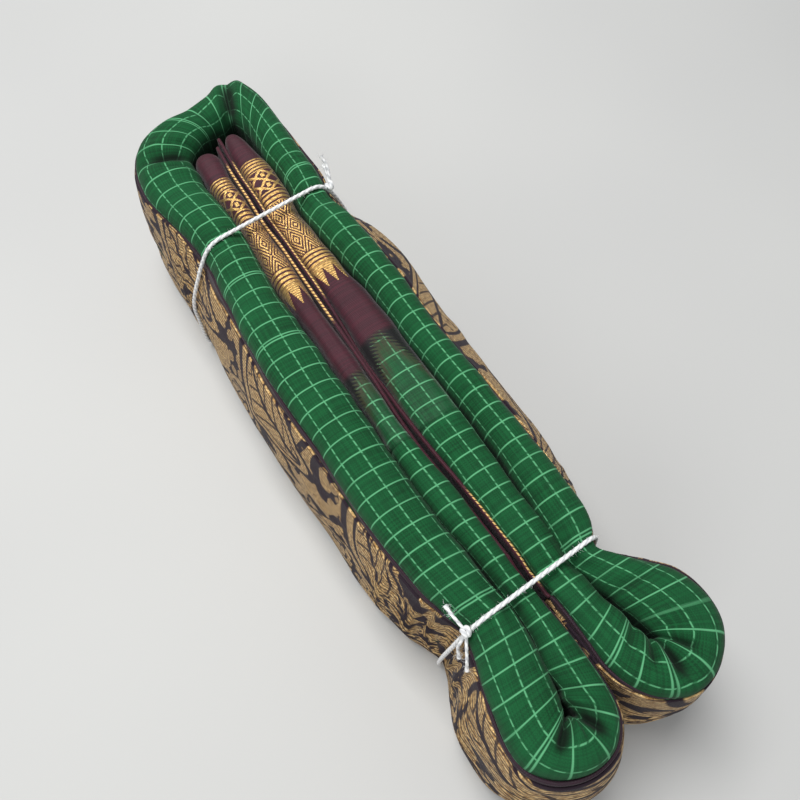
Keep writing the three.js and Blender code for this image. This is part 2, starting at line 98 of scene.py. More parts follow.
# The rolls' edges at each station along the bundle, and how far its sides swell below the top
PLAN = np.array(
    [
        (-130, -44.0, -21.2, -6.4, 5.4, 24.0, 4.0, 4.0),
        (-112, -44.0, -20.8, -7.2, 8.8, 24.5, 4.0, 4.0),
        (-96, -40.0, -19.0, -7.0, 8.8, 25.0, 8.0, 5.0),
        (-81, -37.5, -18.0, -6.8, 8.0, 23.5, 9.0, 7.0),
        (-60, -39.0, -18.5, -6.3, 9.6, 26.0, 9.5, 10.5),
        (-30, -40.0, -17.8, -5.6, 12.5, 28.0, 8.5, 10.0),
        (0, -40.0, -17.0, -5.0, 14.4, 28.5, 7.0, 9.5),
        (30, -37.5, -15.5, -3.6, 16.3, 30.5, 7.0, 9.0),
        (60, -36.0, -13.5, -0.8, 17.2, 33.0, 7.0, 6.0),
        (84, -32.5, -10.6, 1.3, 17.2, 32.5, 5.0, 5.0),
        (94, -29.0, -9.4, 2.2, 17.3, 31.5, 4.0, 4.5),
        (101, -26.0, -8.3, 2.9, 17.4, 28.0, 3.5, 4.0),
        (107, -27.5, -8.0, 3.3, 18.2, 33.5, 4.0, 5.0),
    ],
    dtype=[(name, float) for name in PLAN_COLUMNS],
)
TURN_COLUMNS = [(name, float) for name in ("outer_x", "outer_y", "inner_x", "inner_y", "swell")]
# The far turn, from the left outer leg to the right one
FAR_TURN = np.array(
    [
        (-124.0, -45.5, -121.0, -20.6, 3.0),
        (-138.0, -43.5, -130.5, -19.0, 4.0),
        (-149.0, -37.0, -136.0, -14.5, 4.5),
        (-154.0, -26.0, -139.0, -9.0, 5.0),
        (-155.0, -13.0, -140.0, -4.0, 5.5),
        (-158.5, 0.0, -140.5, 0.0, 5.5),
        (-163.0, 10.0, -140.0, 3.5, 4.5),
        (-162.0, 17.5, -137.0, 6.5, 4.0),
        (-152.0, 22.0, -131.0, 8.2, 4.0),
        (-134.0, 24.0, -122.0, 8.8, 4.0),
    ],
    dtype=TURN_COLUMNS,
)
# The left loop, from the outer leg to the inner one
LEFT_LOOP = np.array(
    [
        (116.0, -30.2, 116.0, -9.6, 5.5),
        (126.0, -33.3, 126.0, -11.4, 7.0),
        (138.0, -35.3, 134.0, -12.8, 6.0),
        (147.5, -33.8, 138.6, -13.8, 6.0),
        (155.0, -27.0, 140.8, -13.6, 6.0),
        (158.6, -16.0, 141.6, -12.7, 6.5),
        (156.5, -5.5, 140.8, -11.9, 5.0),
        (149.0, 1.0, 137.8, -11.6, 1.5),
        (139.0, 2.6, 132.5, -11.6, 0.0),
        (126.0, 2.4, 124.0, -10.9, 0.0),
        (116.0, 1.9, 116.0, -9.2, 0.0),
    ],
    dtype=TURN_COLUMNS,
)
# The right loop, from the outer leg to the inner one
RIGHT_LOOP = np.array(
    [
        (114.0, 40.0, 114.0, 19.8, 4.5),
        (122.0, 47.0, 121.0, 21.8, 4.0),
        (133.0, 50.0, 128.0, 24.2, 3.5),
        (144.0, 48.0, 133.2, 26.0, 3.5),
        (152.5, 40.0, 135.8, 26.6, 4.0),
        (156.0, 28.5, 136.6, 25.8, 4.5),
        (152.0, 17.0, 135.6, 24.7, 3.5),
        (144.0, 9.8, 131.6, 23.5, 1.5),
        (135.0, 6.4, 125.8, 22.2, 0.0),
        (126.0, 6.0, 120.0, 20.6, 0.0),
        (116.0, 5.6, 114.0, 19.0, 0.0),
    ],
    dtype=TURN_COLUMNS,
)

# Creases in the green cloth: a place on the plan that each one passes, how wide and deep it is,
# and how much of the way from the roll's inner side to its outer side it reaches.
CREASES = [
    {"at": (-132.0, -31.0), "width": 3.4, "depth": 5.0, "reach": 0.95},
    {"at": (-138.0, -27.0), "width": 2.2, "depth": 1.8, "reach": 0.50},
    {"at": (-126.0, -32.0), "width": 2.4, "depth": 2.0, "reach": 0.60},
    {"at": (-149.5, 9.0), "width": 2.8, "depth": 6.0, "reach": 1.05},
    {"at": (-147.0, 13.5), "width": 2.0, "depth": 1.8, "reach": 0.50},
    {"at": (-146.0, -8.0), "width": 3.4, "depth": 1.2, "reach": 0.90},
    {"at": (146.5, -21.0), "width": 2.8, "depth": 5.5, "reach": 0.62},
    {"at": (149.5, -13.0), "width": 2.0, "depth": 2.0, "reach": 0.50},
    {"at": (140.0, -25.0), "width": 2.6, "depth": 1.6, "reach": 0.50},
    {"at": (148.3, -7.0), "width": 2.6, "depth": 6.5, "reach": 0.92},
    {"at": (145.0, -4.5), "width": 1.7, "depth": 2.4, "reach": 0.80},
    {"at": (136.0, -4.5), "width": 2.6, "depth": 1.4, "reach": 0.50},
    {"at": (146.2, 25.0), "width": 2.6, "depth": 6.5, "reach": 0.90},
    {"at": (144.0, 32.5), "width": 2.6, "depth": 4.6, "reach": 0.62},
    {"at": (138.5, 37.0), "width": 2.4, "depth": 1.8, "reach": 0.50},
    {"at": (142.5, 18.0), "width": 2.4, "depth": 4.4, "reach": 0.66},
    {"at": (134.0, 14.5), "width": 2.6, "depth": 1.8, "reach": 0.60},
    {"at": (119.5, 32.0), "width": 2.6, "depth": 1.6, "reach": 0.90},
]


def smooth_step(low, high, value):
    """0 below low, 1 above high, and a cubic ease between."""
    part = np.clip((value - low) / (high - low), 0.0, 1.0)
    return part * part * (3.0 - 2.0 * part)


def through(keys, values, at):
    """A cubic through each value at its key. Its end slopes are those of the lines between neighbours."""
    index = np.clip(np.searchsorted(keys, at, side="right") - 1, 0, len(keys) - 2)
    before = np.maximum(index - 1, 0)
    after = np.minimum(index + 2, len(keys) - 1)
    length = keys[index + 1] - keys[index]
    slope_in = (values[index + 1] - values[before]) / (keys[index + 1] - keys[before]) * length
    slope_out = (values[after] - values[index]) / (keys[after] - keys[index]) * length
    part = (at - keys[index]) / length
    square = part * part
    cube = square * part
    return ((2 * cube - 3 * square + 1) * values[index] + (cube - 2 * square + part) * slope_in
            + (3 * square - 2 * cube) * values[index + 1] + (cube - square) * slope_out)


def string_dip(x):
    """How far the strings press the top down: a smooth dent at each one."""
    dip = np.zeros_like(x)
    for string in (FAR_STRING, NEAR_STRING):
        middle = (string["left"] + string["right"]) / 2
        near = np.clip(1 - np.abs(x - middle) / DIP_REACH, 0.0, 1.0)
        dip += string["dip"] * near * near * (3 - 2 * near)
    return dip


def strip_keys():
    """The whole strip's key sections in order: left tip, left loop, far turn, right loop, right tip.

    Each row is the roll's outer edge, its inner edge, its top, the height of its round top and its swell.
    """
    rows = []

    def leg(side, inner, stations):
        for x in stations:
            inside = np.float64(max(x, PLAN_START))
            at = {name: float(through(PLAN["x"], PLAN[name], inside)) for name in PLAN.dtype.names[1:]}
            sign = -1.0 if side == "left" else 1.0
            crease = at[f"crease_{side}"]
            if inner:
                outer = at["centre"] + sign * CENTRE_GAP / 2
                drop = BORDER_DROP + (INNER_DROP - BORDER_DROP) * float(smooth_step(-60.0, 60.0, x))
                rows.append((x, outer, x, crease - sign * CLEAR / 2, HEIGHT - drop, INNER_CROWN, 0.0))
            else:
                swell = at[f"swell_{side}"]
                inner_y = crease + sign * CLEAR / 2
                rows.append((x, at[f"outer_{side}"], x, inner_y, HEIGHT, OUTER_CROWN, swell))

    def turn(table, outer_first, rises):
        share = np.linspace(0.0, 1.0, len(table))
        crown_out = OUTER_CROWN
        crown_in = INNER_CROWN if rises else OUTER_CROWN
        drop = INNER_DROP if rises else 0.0
        made = []
        for row, part in zip(table, share):
            top = HEIGHT - drop * part + (LOOP_RISE - 1.5) * math.sin(math.pi * part) * rises
            crown = crown_out + (crown_in - crown_out) * part
            edges = [row[name] for name in ("outer_x", "outer_y", "inner_x", "inner_y")]
            made.append((*edges, top, crown, row["swell"]))
        rows.extend(made if outer_first else made[::-1])

    inner_left = [LEFT_TIP] + [x for x in PLAN["x"] if x > LEFT_TIP]
    inner_right = [RIGHT_TIP] + [x for x in PLAN["x"] if x > RIGHT_TIP]
    leg("left", True, inner_left)
    turn(LEFT_LOOP, False, 1)
    leg("left", False, PLAN["x"][:0:-1])
    turn(FAR_TURN, True, 0)
    leg("right", False, PLAN["x"][1:])
    turn(RIGHT_LOOP, True, 1)
    leg("right", True, inner_right[::-1])
    return np.array(rows)


class Strip:
    """The strip's sections at even steps along its middle line."""

    def __init__(self, leg_step, turn_step):
        keys = strip_keys()
        middle = (keys[:, 0:2] + keys[:, 2:4]) / 2
        lengths = np.linalg.norm(np.diff(middle, axis=0), axis=1)
        along = np.concatenate([[0.0], np.cumsum(lengths)])
        fine = np.linspace(0.0, along[-1], 6000)
        x = through(along, middle[:, 0], fine)
        in_turn = smooth_step(-100.0, -112.0, x) + smooth_step(98.0, 108.0, x)
        density = 1.0 / leg_step + (1.0 / turn_step - 1.0 / leg_step) * in_turn
        number = np.concatenate([[0.0], np.cumsum((density[1:] + density[:-1]) / 2 * np.diff(fine))])
        at = np.interp(np.linspace(0.0, number[-1], int(number[-1])), number, fine)
        columns = np.stack([through(along, column, at) for column in keys.T], axis=1)
        self.along = at
        self.outer = columns[:, 0:2]
        self.inner = columns[:, 2:4]
        self.middle = (self.outer + self.inner) / 2
        self.top = columns[:, 4] - string_dip(self.middle[:, 0])
        self.crown = columns[:, 5]
        self.swell = np.maximum(columns[:, 6], 0.0)
        self.width = np.linalg.norm(self.inner - self.outer, axis=1)
        self.across = (self.inner - self.outer) / self.width[:, None]

    def station(self, place):
        """The index of the section whose middle line lies nearest a place on the plan."""
        return int(np.argmin(np.linalg.norm(self.middle - np.array(place), axis=1)))

    def cut(self, start, stop):
        """The same strip with only the sections from start to stop."""
        part = object.__new__(Strip)
        for name, values in self.__dict__.items():
            setattr(part, name, values[start:stop])
        return part


def wall_out(level, swell, reach=SWELL_REACH):
    """How far a wall stands out from the top's edge at a level from 0 to 1.

    It swells as a quarter sine below the top, and turns in at the foot as a quarter circle.
    """
    outward = swell * np.sin(np.pi / 2 * np.minimum(1.0, (1.0 - level) / reach))
    lift = np.minimum(1.0, level / FOOT_SHARE)
    return outward - FOOT_ROUND * (1.0 - np.sqrt(1.0 - (1.0 - lift) ** 2))


def ripple(seed, along, across, scale, count=7):
    """Gentle unevenness: the mean of waves that run in random directions, with lengths about scale."""
    numbers = np.random.default_rng(seed)
    total = np.zeros(np.broadcast(along, across).shape)
    for _ in range(count):
        angle = numbers.uniform(0, math.tau)
        length = scale * numbers.uniform(0.6, 1.7)
        phase = numbers.uniform(0, math.tau)
        total += np.sin(math.tau * (along * math.cos(angle) + across * math.sin(angle)) / length + phase)
    return total / math.sqrt(count)


def section_away(strip, wall_steps, crown_steps, foot_steps):
    """Places round each section as two grids: away, the distance in from the roll's outer edge, and z.

    They go up the outer wall, over a half superellipse, down the inner wall and back along the underside.
    """
    levels = 1.0 - (1.0 - np.linspace(0.0, 1.0, wall_steps)) ** 1.25
    wall_top = (strip.top - strip.crown)[:, None]
    up_out = -wall_out(levels[None, :], strip.swell[:, None])
    up_z = levels[None, :] * wall_top
    turn = np.linspace(0.0, np.pi, crown_steps + 2)[1:-1][None, :]
    cosine = np.sign(np.cos(turn)) * np.abs(np.cos(turn)) ** CROWN_POWER
    crown_away = strip.width[:, None] * (1 - cosine) / 2
    crown_z = wall_top + strip.crown[:, None] * np.sin(turn) ** CROWN_POWER
    down_out = strip.width[:, None] + wall_out(levels[None, ::-1], 0.0)
    down_z = up_z[:, ::-1]
    share = np.linspace(0.0, 1.0, foot_steps + 2)[None, 1:]
    foot_away = down_out[:, -1:] + (up_out[:, :1] - down_out[:, -1:]) * share
    away = np.concatenate([up_out, crown_away, down_out, foot_away], axis=1)
    z = np.concatenate([up_z, crown_z, down_z, np.zeros_like(foot_away)], axis=1)
    return away, z


def to_points(strip, away, z):
    """Points in metres at distances in from the roll's outer edges, at heights z."""
    plan = strip.outer[:, None, :] + strip.across[:, None, :] * away[:, :, None]
    points = np.concatenate([plan, z[:, :, None]], axis=2)
    points[:, :, 0] += PLAN_SHIFT[0]
    points[:, :, 1] += PLAN_SHIFT[1]
    return points * MM


def arc_lengths(away, z, zero_column):
    """Distance round each section, from the column that the cloth is measured from."""
    steps = np.hypot(np.diff(away, axis=1), np.diff(z, axis=1))
    along = np.concatenate([np.zeros((len(away), 1)), np.cumsum(steps, axis=1)], axis=1)
    return along - along[:, zero_column:zero_column + 1]


def grid_mesh(name, points, uv, closed_across=False, closed_along=False, hollow=None):
    """A mesh from a grid of points, with a UV map, uv being a place in metres for every point.

    The per-point shade values, where they are given, say from 0 to 1 how much painted shade each point gets: deep
    in creases and down the sides of the rolls.
    """
    rows, columns = points.shape[:2]
    used = columns - 1 if closed_across else columns
    kept_rows = rows - 1 if closed_along else rows
    vertices = points[:kept_rows, :used].reshape(-1, 3)
    row = np.arange(rows - 1)[:, None]
    column = np.arange(columns - 1)[None, :]
    next_row = (row + 1) % kept_rows
    next_column = (column + 1) % used if closed_across else column + 1
    corners = np.stack(np.broadcast_arrays(
        row * used + column,
        next_row * used + column,
        next_row * used + next_column,
        row * used + next_column,
    ), axis=2)
    faces = corners.reshape(-1, 4)
    mesh = bpy.data.meshes.new(name)
    mesh.vertices.add(len(vertices))
    mesh.vertices.foreach_set("co", vertices.ravel().astype(np.float32))
    mesh.loops.add(faces.size)
    mesh.loops.foreach_set("vertex_index", faces.ravel().astype(np.int32))
    mesh.polygons.add(len(faces))
    mesh.polygons.foreach_set("loop_start", np.arange(0, faces.size, 4, dtype=np.int32))
    mesh.polygons.foreach_set("loop_total", np.full(len(faces), 4, dtype=np.int32))
    mesh.polygons.foreach_set("use_smooth", np.ones(len(faces), dtype=bool))
    uv_corners = np.stack([uv[:-1, :-1], uv[1:, :-1], uv[1:, 1:], uv[:-1, 1:]], axis=2)
    layer = mesh.uv_layers.new(name="cloth")
    layer.data.foreach_set("uv", uv_corners.reshape(-1, 2).ravel().astype(np.float32))
    # Stores the painted shade of each point as a mesh attribute.
    if hollow is not None:
        attribute = mesh.attributes.new("hollow", "FLOAT", "POINT")
        attribute.data.foreach_set("value", hollow[:kept_rows, :used].ravel().astype(np.float32))
    mesh.update()
    mesh.validate()
    piece = bpy.data.objects.new(name, mesh)
    bpy.context.scene.collection.objects.link(piece)
    return piece


def turn_outwards(piece):
    """Flips the faces of a closed or nearly closed surface if they point in."""
    mesh = piece.data
    centres = np.empty(len(mesh.polygons) * 3)
    normals = np.empty(len(mesh.polygons) * 3)
    areas = np.empty(len(mesh.polygons))
    mesh.polygons.foreach_get("center", centres)
    mesh.polygons.foreach_get("normal", normals)
    mesh.polygons.foreach_get("area", areas)
    volume = np.sum(np.sum(centres.reshape(-1, 3) * normals.reshape(-1, 3), axis=1) * areas)
    if volume < 0:
        mesh.flip_normals()


def give_thickness(piece, thickness, offset=-1.0):
    """Cloth thickness as a live Solidify."""
    solid = piece.modifiers.new("cloth thickness", "SOLIDIFY")
    solid.thickness = thickness * MM
    solid.offset = offset
    return solid


class Socket:
    """A shader value that Python's operators work on: each adds one Math node."""

    def __init__(self, maker, socket):
        self.maker = maker
        self.socket = socket

    def math(self, operation, *others):
        return self.maker.add("ShaderNodeMath", {"operation": operation}, [self, *others])

    def __add__(self, other):
        return self.math("ADD", other)

    __radd__ = __add__

    def __sub__(self, other):
        return self.math("SUBTRACT", other)

    def __rsub__(self, other):
        return self.maker.add("ShaderNodeMath", {"operation": "SUBTRACT"}, [other, self])

    def __mul__(self, other):
        return self.math("MULTIPLY", other)

    __rmul__ = __mul__

    def __truediv__(self, other):
        return self.math("DIVIDE", other)

    def __abs__(self):
        return self.math("ABSOLUTE")

    def sin(self):
        return self.math("SINE")

    def floor(self):
        return self.math("FLOOR")

    def max(self, other):
        return self.math("MAXIMUM", other)

    def wrap(self, period):
        """The place within a repeat of that length."""
        return self.math("FLOORED_MODULO", period)

    def saw(self, period):
        """The distance to the nearest multiple of period."""
        return self.math("PINGPONG", period / 2)

    def below(self, limit, soft):
        """1 below the limit and 0 above it, eased over soft each way."""
        return self.maker.ramp(self, limit - soft, limit + soft, 1.0, 0.0)

    def above(self, limit, soft):
        """0 below the limit and 1 above it, eased over soft each way."""
        return self.maker.ramp(self, limit - soft, limit + soft, 0.0, 1.0)


class Maker:
    """Adds nodes to one material."""

    def __init__(self, name):
        self.material = bpy.data.materials.new(name)
        self.material.use_nodes = True
        self.tree = self.material.node_tree
        self.tree.nodes.clear()
        output = self.tree.nodes.new("ShaderNodeOutputMaterial")
        self.shader = self.tree.nodes.new("ShaderNodeBsdfPrincipled")
        self.tree.links.new(self.shader.outputs[0], output.inputs[0])

    def add(self, kind, settings=None, inputs=(), output=0):
        """Adds a node: its settings first, then the values or links of its sockets, by number or name."""
        node = self.tree.nodes.new(kind)
        for name, value in (settings or {}).items():
            setattr(node, name, value)
        pairs = inputs.items() if isinstance(inputs, dict) else enumerate(inputs)
        for key, value in pairs:
            if isinstance(value, Socket):
                self.tree.links.new(value.socket, node.inputs[key])
            else:
                node.inputs[key].default_value = value
        return Socket(self, node.outputs[output])

    def ramp(self, value, low, high, start, end):
        """A smooth step of value from start at low to end at high."""
        settings = {"interpolation_type": "SMOOTHSTEP", "clamp": True}
        return self.add("ShaderNodeMapRange", settings, [value, low, high, start, end])

    def mix(self, factor, one, other):
        """One colour turned to another by a factor."""
        return self.add("ShaderNodeMix", {"data_type": "RGBA"}, {0: factor, 6: one, 7: other}, output=2)

    def split(self, vector):
        """The three numbers of a vector."""
        node = self.tree.nodes.new("ShaderNodeSeparateXYZ")
        self.tree.links.new(vector.socket, node.inputs[0])
        return [Socket(self, output) for output in node.outputs]

    def join(self, x, y, z=0.0):
        return self.add("ShaderNodeCombineXYZ", {}, [x, y, z])

    def noise(self, vector, scale, detail=3.0, rough=0.55, output=0):
        inputs = {"Vector": vector, "Scale": scale, "Detail": detail, "Roughness": rough}
        return self.add("ShaderNodeTexNoise", {}, inputs, output=output)

    def cloth_place(self):
        """The place on the cloth in millimetres, from its UV map."""
        uv = self.add("ShaderNodeUVMap", {"uv_map": "cloth"})
        u, v, _ = self.split(uv)
        return u * 1000.0, v * 1000.0

    def set(self, **values):
        """Sets or links the shader's sockets, named with underscores."""
        for name, value in values.items():
            socket = self.shader.inputs[name.replace("_", " ")]
            if isinstance(value, Socket):
                self.tree.links.new(value.socket, socket)
            else:
                socket.default_value = value

    def bump(self, height, strength, distance):
        inputs = {"Strength": strength, "Distance": distance, "Height": height}
        return self.add("ShaderNodeBump", {}, inputs)

    def shade(self, value, low, high, dark, light):
        """A colour that goes from dark to light as the value goes from low to high."""
        return self.mix(self.ramp(value, low, high, 0.0, 1.0), rgb(dark), rgb(light))


def rgb(value):
    return (value[0], value[1], value[2], 1.0)


def thread_noise(maker, u, v, seed):
    """Slubs: noise drawn out along the warp, and noise drawn out along the weft."""
    warp = maker.noise(maker.join(u * 0.045, v * 1.7, seed), 1.0, 2.0)
    weft = maker.noise(maker.join(u * 1.7, v * 0.045, seed + 7.3), 1.0, 2.0)
    return warp, weft


def weave_height(maker, u, v, pitch):
    """The plain weave: threads cross over and under as the product of two sines."""
    return (u * (math.tau / pitch)).sin() * (v * (math.tau / pitch)).sin()


def checked_colour(maker, u, v, colours, sizes):
    """Deep green cotton with pale check lines. Returns its colour and the lines' mask."""
    warp, weft = thread_noise(maker, u, v, 3.0)
    wander = (maker.noise(maker.join(u * 0.02, v * 0.02, 1.0), 1.0) - 0.5) * 1.6
    pitch = sizes.check_pitch * 1000.0
    half = sizes.line_width * 500.0
    dashes = (u + wander * 2.0 + v * 0.7).wrap(3.3).below(2.3, 0.25)
    along_line = ((v + wander * 0.4).saw(pitch)).below(half, 0.16) * (0.25 + dashes * 0.75)
    row = (u + wander) / pitch
    number = (row + 0.5).floor()
    chance = maker.add("ShaderNodeTexWhiteNoise", {"noise_dimensions": "1D"}, {"W": number}, output=0)
    doubled = chance.above(0.84, 0.01)
    single = (u + wander).saw(pitch)
    pair = abs(single - 0.6)
    across_line = maker.ramp(single + (pair - single) * doubled, half - 0.16, half + 0.16, 1.0, 0.0)
    thin = maker.ramp(warp, 0.30, 0.48, 0.45, 1.0)
    thin_weft = maker.ramp(weft, 0.30, 0.48, 0.55, 1.0)
    lines = (along_line * thin * 0.92).max(across_line * thin_weft)
    slub = (warp + weft) * 0.5 + weave_height(maker, u, v, BROAD_WEAVE_PITCH) * 0.05
    broad = maker.noise(maker.join(u * 0.03, v * 0.03, 9.0), 1.0, 4.0)
    ground = maker.shade(slub, 0.35, 0.65, colours.green_dark, colours.green)
    ground = maker.mix(maker.ramp(broad, 0.35, 0.7, 0.0, 0.35), ground, rgb(colours.green_light))
    return maker.mix(lines, ground, rgb(colours.check_line)), lines


def finish_cloth(maker, u, v, colour, roughness, sheen, extra_height=None, strength=0.35):
    """Fine weave and thread relief, with a soft sheen. The colour is darkened as painted shade deep in creases
    and down the rolls' sides.
    """
    hollow = maker.add("ShaderNodeAttribute", {"attribute_name": "hollow"}, [], output=2)
    # Painted shade: the colour goes towards near black by the per-point shade attribute, deep in creases and down
    # the rolls' sides.
    colour = maker.mix(maker.ramp(hollow, 0.0, 1.0, 0.0, 0.88), colour, (0.001, 0.003, 0.0015, 1.0))
    warp, weft = thread_noise(maker, u, v, 5.0)
    height = weave_height(maker, u, v, WEAVE_PITCH) * 0.5 + (warp + weft) * 0.8
    if extra_height is not None:
        height = height + extra_height
    maker.set(
        Base_Color=colour,
        Roughness=roughness,
        Normal=maker.bump(height, strength, 0.00025),
        Sheen_Weight=sheen,
        Sheen_Roughness=0.45,
        Specular_IOR_Level=0.25,
    )
    return maker.material


def checked_cotton(colours, sizes):
    maker = Maker("checked cotton")
    u, v = maker.cloth_place()
    colour, lines = checked_colour(maker, u, v, colours, sizes)
    return finish_cloth(maker, u, v, colour, 0.88, 0.03, lines * 0.4)


def band(value, low, high, soft=0.12):
    """1 between low and high."""
    return value.above(low, soft) * value.below(high, soft)


def border_pattern(maker, s, v):
    """The mask of the gold figures along the border, s being millimetres from where the gold starts."""
    across = v.saw(BORDER_REPEAT)
    lines_head = band(s, 0.0, 6.4) * s.saw(1.6).below(0.48, 0.12)
    small = abs((s - 6.4).saw(5.2) - across * 0.70)
    dots = (s - 9.0).saw(5.2).max(across).below(0.9, 0.2)
    diamonds_small = band(s, 6.4, 16.8) * small.below(0.62, 0.14).max(dots)
    lines_upper = band(s, 16.8, 22.4) * s.saw(1.87).below(0.55, 0.12)
    # Large lozenges: nested outlines with a dot in the middle, between zigzags
    cell = (s - 22.4).saw(12.8)
    reach = cell + across * 1.72
    rings = reach.wrap(2.2).below(1.15, 0.14)
    core = reach.below(1.1, 0.2)
    lozenges = band(s, 22.4, 48.0) * rings.max(core)
    lines_lower = band(s, 48.0, 55.0) * s.saw(1.75).below(0.52, 0.12)
    tooth = v.saw(5.0) / 2.5
    steps = (tooth * 7.0).floor() / 7.0
    teeth = band(s, 55.0, 70.0, 0.05) * (s + steps * 8.0).below(64.0, 0.25)
    teeth = teeth * (0.35 + s.saw(0.9).below(0.32, 0.1) * 0.65)
    return lines_head.max(diamonds_small).max(lines_upper).max(lozenges).max(lines_lower).max(teeth)


def border_cloth(name, colours, sizes, gold_start, green_start, direction):
    """Maroon satin with a figured gold band, which meets the green check in a comb of dark threads.

    The starts are distances along the strip, and direction is 1 where it runs from the tip and -1 towards it.
    """
    maker = Maker(name)
    u, v = maker.cloth_place()
    s = (u - gold_start) * (direction * GOLD_STRETCH)
    green, lines = checked_colour(maker, u, v, colours, sizes)
    warp, weft = thread_noise(maker, u, v, 11.0)
    maroon = maker.shade(weft, 0.3, 0.7, colours.maroon_dark, colours.maroon)
    gold_mask = border_pattern(maker, s, v)
    glint = maker.noise(maker.join(u * 2.4, v * 0.6, 2.0), 1.0, 2.0)
    gold = maker.shade(glint, 0.3, 0.7, colours.gold_dark, colours.gold)
    figured = maker.mix(gold_mask, maroon, gold)
    # The green starts at the crown's middle, and later down the sides, whose dark threads are its teeth
    t = (u - green_start) * direction
    aside = (abs(v + 1.8) - 2.0).max(0.0)
    ragged = (maker.noise(maker.join(u * 0.5, v * 0.5, 3.0), 1.0, 2.0) - 0.5) * 5.0
    teeth = (u + v * 0.5).saw(1.7) / 0.85
    past = t - aside * 2.6 + ragged
    dark_tooth = (past + teeth * 9.0).below(4.0, 1.0)
    tint = maker.ramp(past, 2.0, 16.0, 0.75, 0.0)
    reddened = maker.mix(tint * maker.ramp(warp, 0.3, 0.6, 0.3, 1.0), green, rgb(colours.red_tint))
    comb_zone = maker.mix(dark_tooth, reddened, rgb(colours.comb))
    side_shade = maker.ramp(aside, 3.0, 9.0, 0.0, 0.8)
    figured = maker.mix(side_shade * (1.0 - gold_mask), figured, rgb(colours.aubergine))
    to_comb = (t + ragged * 0.3).above(-1.0, 1.6)
    colour = maker.mix(to_comb, figured, comb_zone)
    ribs = (u * (math.tau / RIB_PITCH)).sin()
    height = gold_mask * 1.6 + ribs * 0.25 * (1.0 - to_comb)
    rough = maker.ramp(gold_mask, 0.0, 1.0, 0.46, 0.34)
    finish_cloth(maker, u, v, colour, rough, 0.15, height, 0.45)
    maker.set(Metallic=gold_mask * 0.75 * (1.0 - to_comb))
    return maker.material


def teardrop(maker, x, y, long_half, wide_half, bend):
    """How far out a place is in a bent teardrop: below 1 inside it.

    The drop is an ellipse whose width shrinks towards +y and whose middle line bends as a parabola.
    """
    bent = x - y * y * bend
    taper = 1.0 - (y / long_half) * 0.62
    wide = taper.max(0.12) * wide_half
    return ((bent / wide) * (bent / wide) + (y / long_half) * (y / long_half)).math("SQRT")


def brocade(colours):
    """Aubergine cotton figured in gold cord: large bent leaves, curling stems and small flowers.

    Everything is drawn in gold cords that run along the strip, so each figure is a stepped shape of cords.
    """
    maker = Maker("figured end piece")
    u, v = maker.cloth_place()
    sway_u = (maker.noise(maker.join(u * 0.016, v * 0.016, 4.0), 1.0, 1.0) - 0.5) * 26.0
    sway_v = (maker.noise(maker.join(u * 0.016, v * 0.016, 14.0), 1.0, 1.0) - 0.5) * 18.0
    gu = u + sway_u
    gv = v + sway_v + 6.0
    # Rows of large leaves, alternate rows shifted by half and turned the other way
    odd = (gv / LEAF_ROW).floor().wrap(2.0)
    flip = 1.0 - odd * 2.0
    x = ((gu + odd * (LEAF_SPACING / 2)).wrap(LEAF_SPACING) - LEAF_SPACING / 2) * flip
    y = gv.wrap(LEAF_ROW) - LEAF_ROW / 2
    along = x * 0.90 - y * 0.44
    across = y * 0.90 + x * 0.44
    big = teardrop(maker, across, along, 33.0, 15.5, 0.013)
    twin = teardrop(maker, across + 16.0, 9.0 - along, 24.0, 8.5, -0.016)
    spots = {"Vector": maker.join(u, v), "Scale": 0.155}
    petals = maker.add("ShaderNodeTexVoronoi", {"feature": "F1"}, spots, output=0)
    flower = petals.below(0.40, 0.03)
    inside_big = big.below(1.05, 0.02)
    vein = abs(across - along * along * 0.013).below(1.0, 0.25) * band(along, -26.0, 22.0, 1.0)
    side_veins = (along + abs(across) * 0.9).saw(7.5).below(0.7, 0.2) * big.below(0.62, 0.03)
    leaf = big.below(0.90, 0.015) * (1.0 - band(big, 0.66, 0.74, 0.012))
    leaf = leaf * (1.0 - vein) * (1.0 - side_veins * 0.9)
    in_twin = twin.below(1.10, 0.02)
    twin_leaf = twin.below(0.88, 0.02) * (1.0 - twin.below(0.42, 0.02) * (1.0 - flower))
    curl = maker.noise(maker.join(gu * 0.030, gv * 0.030, 21.0), 1.0, 1.0, 0.4)
    stem = abs((curl * 6.0).wrap(1.0) - 0.5).below(0.27, 0.02)
    between = stem * 0.95 + (1.0 - stem) * flower * 0.8
    outside = between * (1.0 - in_twin) + twin_leaf * in_twin
    area = outside * (1.0 - inside_big) + leaf * inside_big
    cord = v.saw(CORD_PITCH).below(0.47, 0.14)
    catch = (u + (v / CORD_PITCH).floor() * 1.7).saw(4.6).below(2.02, 0.12)
    gold_mask = area * (0.16 + cord * 0.84) * (0.6 + catch * 0.4)
    wear = maker.noise(maker.join(u * 0.35, v * 0.35, 31.0), 1.0, 3.0)
    gold_mask = gold_mask * maker.ramp(wear, 0.25, 0.5, 0.6, 1.0)
    glint = maker.noise(maker.join(u * 0.9, v * 0.9, 2.0), 1.0, 3.0)
    gold = maker.shade(glint, 0.35, 0.65, colours.gold_dark, colours.old_gold)
    colour = maker.mix(gold_mask, rgb(colours.aubergine), gold)
    rough = maker.ramp(gold_mask, 0.0, 1.0, 0.72, 0.40)
    finish_cloth(maker, u, v, colour, rough, 0.05, gold_mask * 2.2, 0.6)
    maker.set(Metallic=gold_mask * 0.45)
    return maker.material


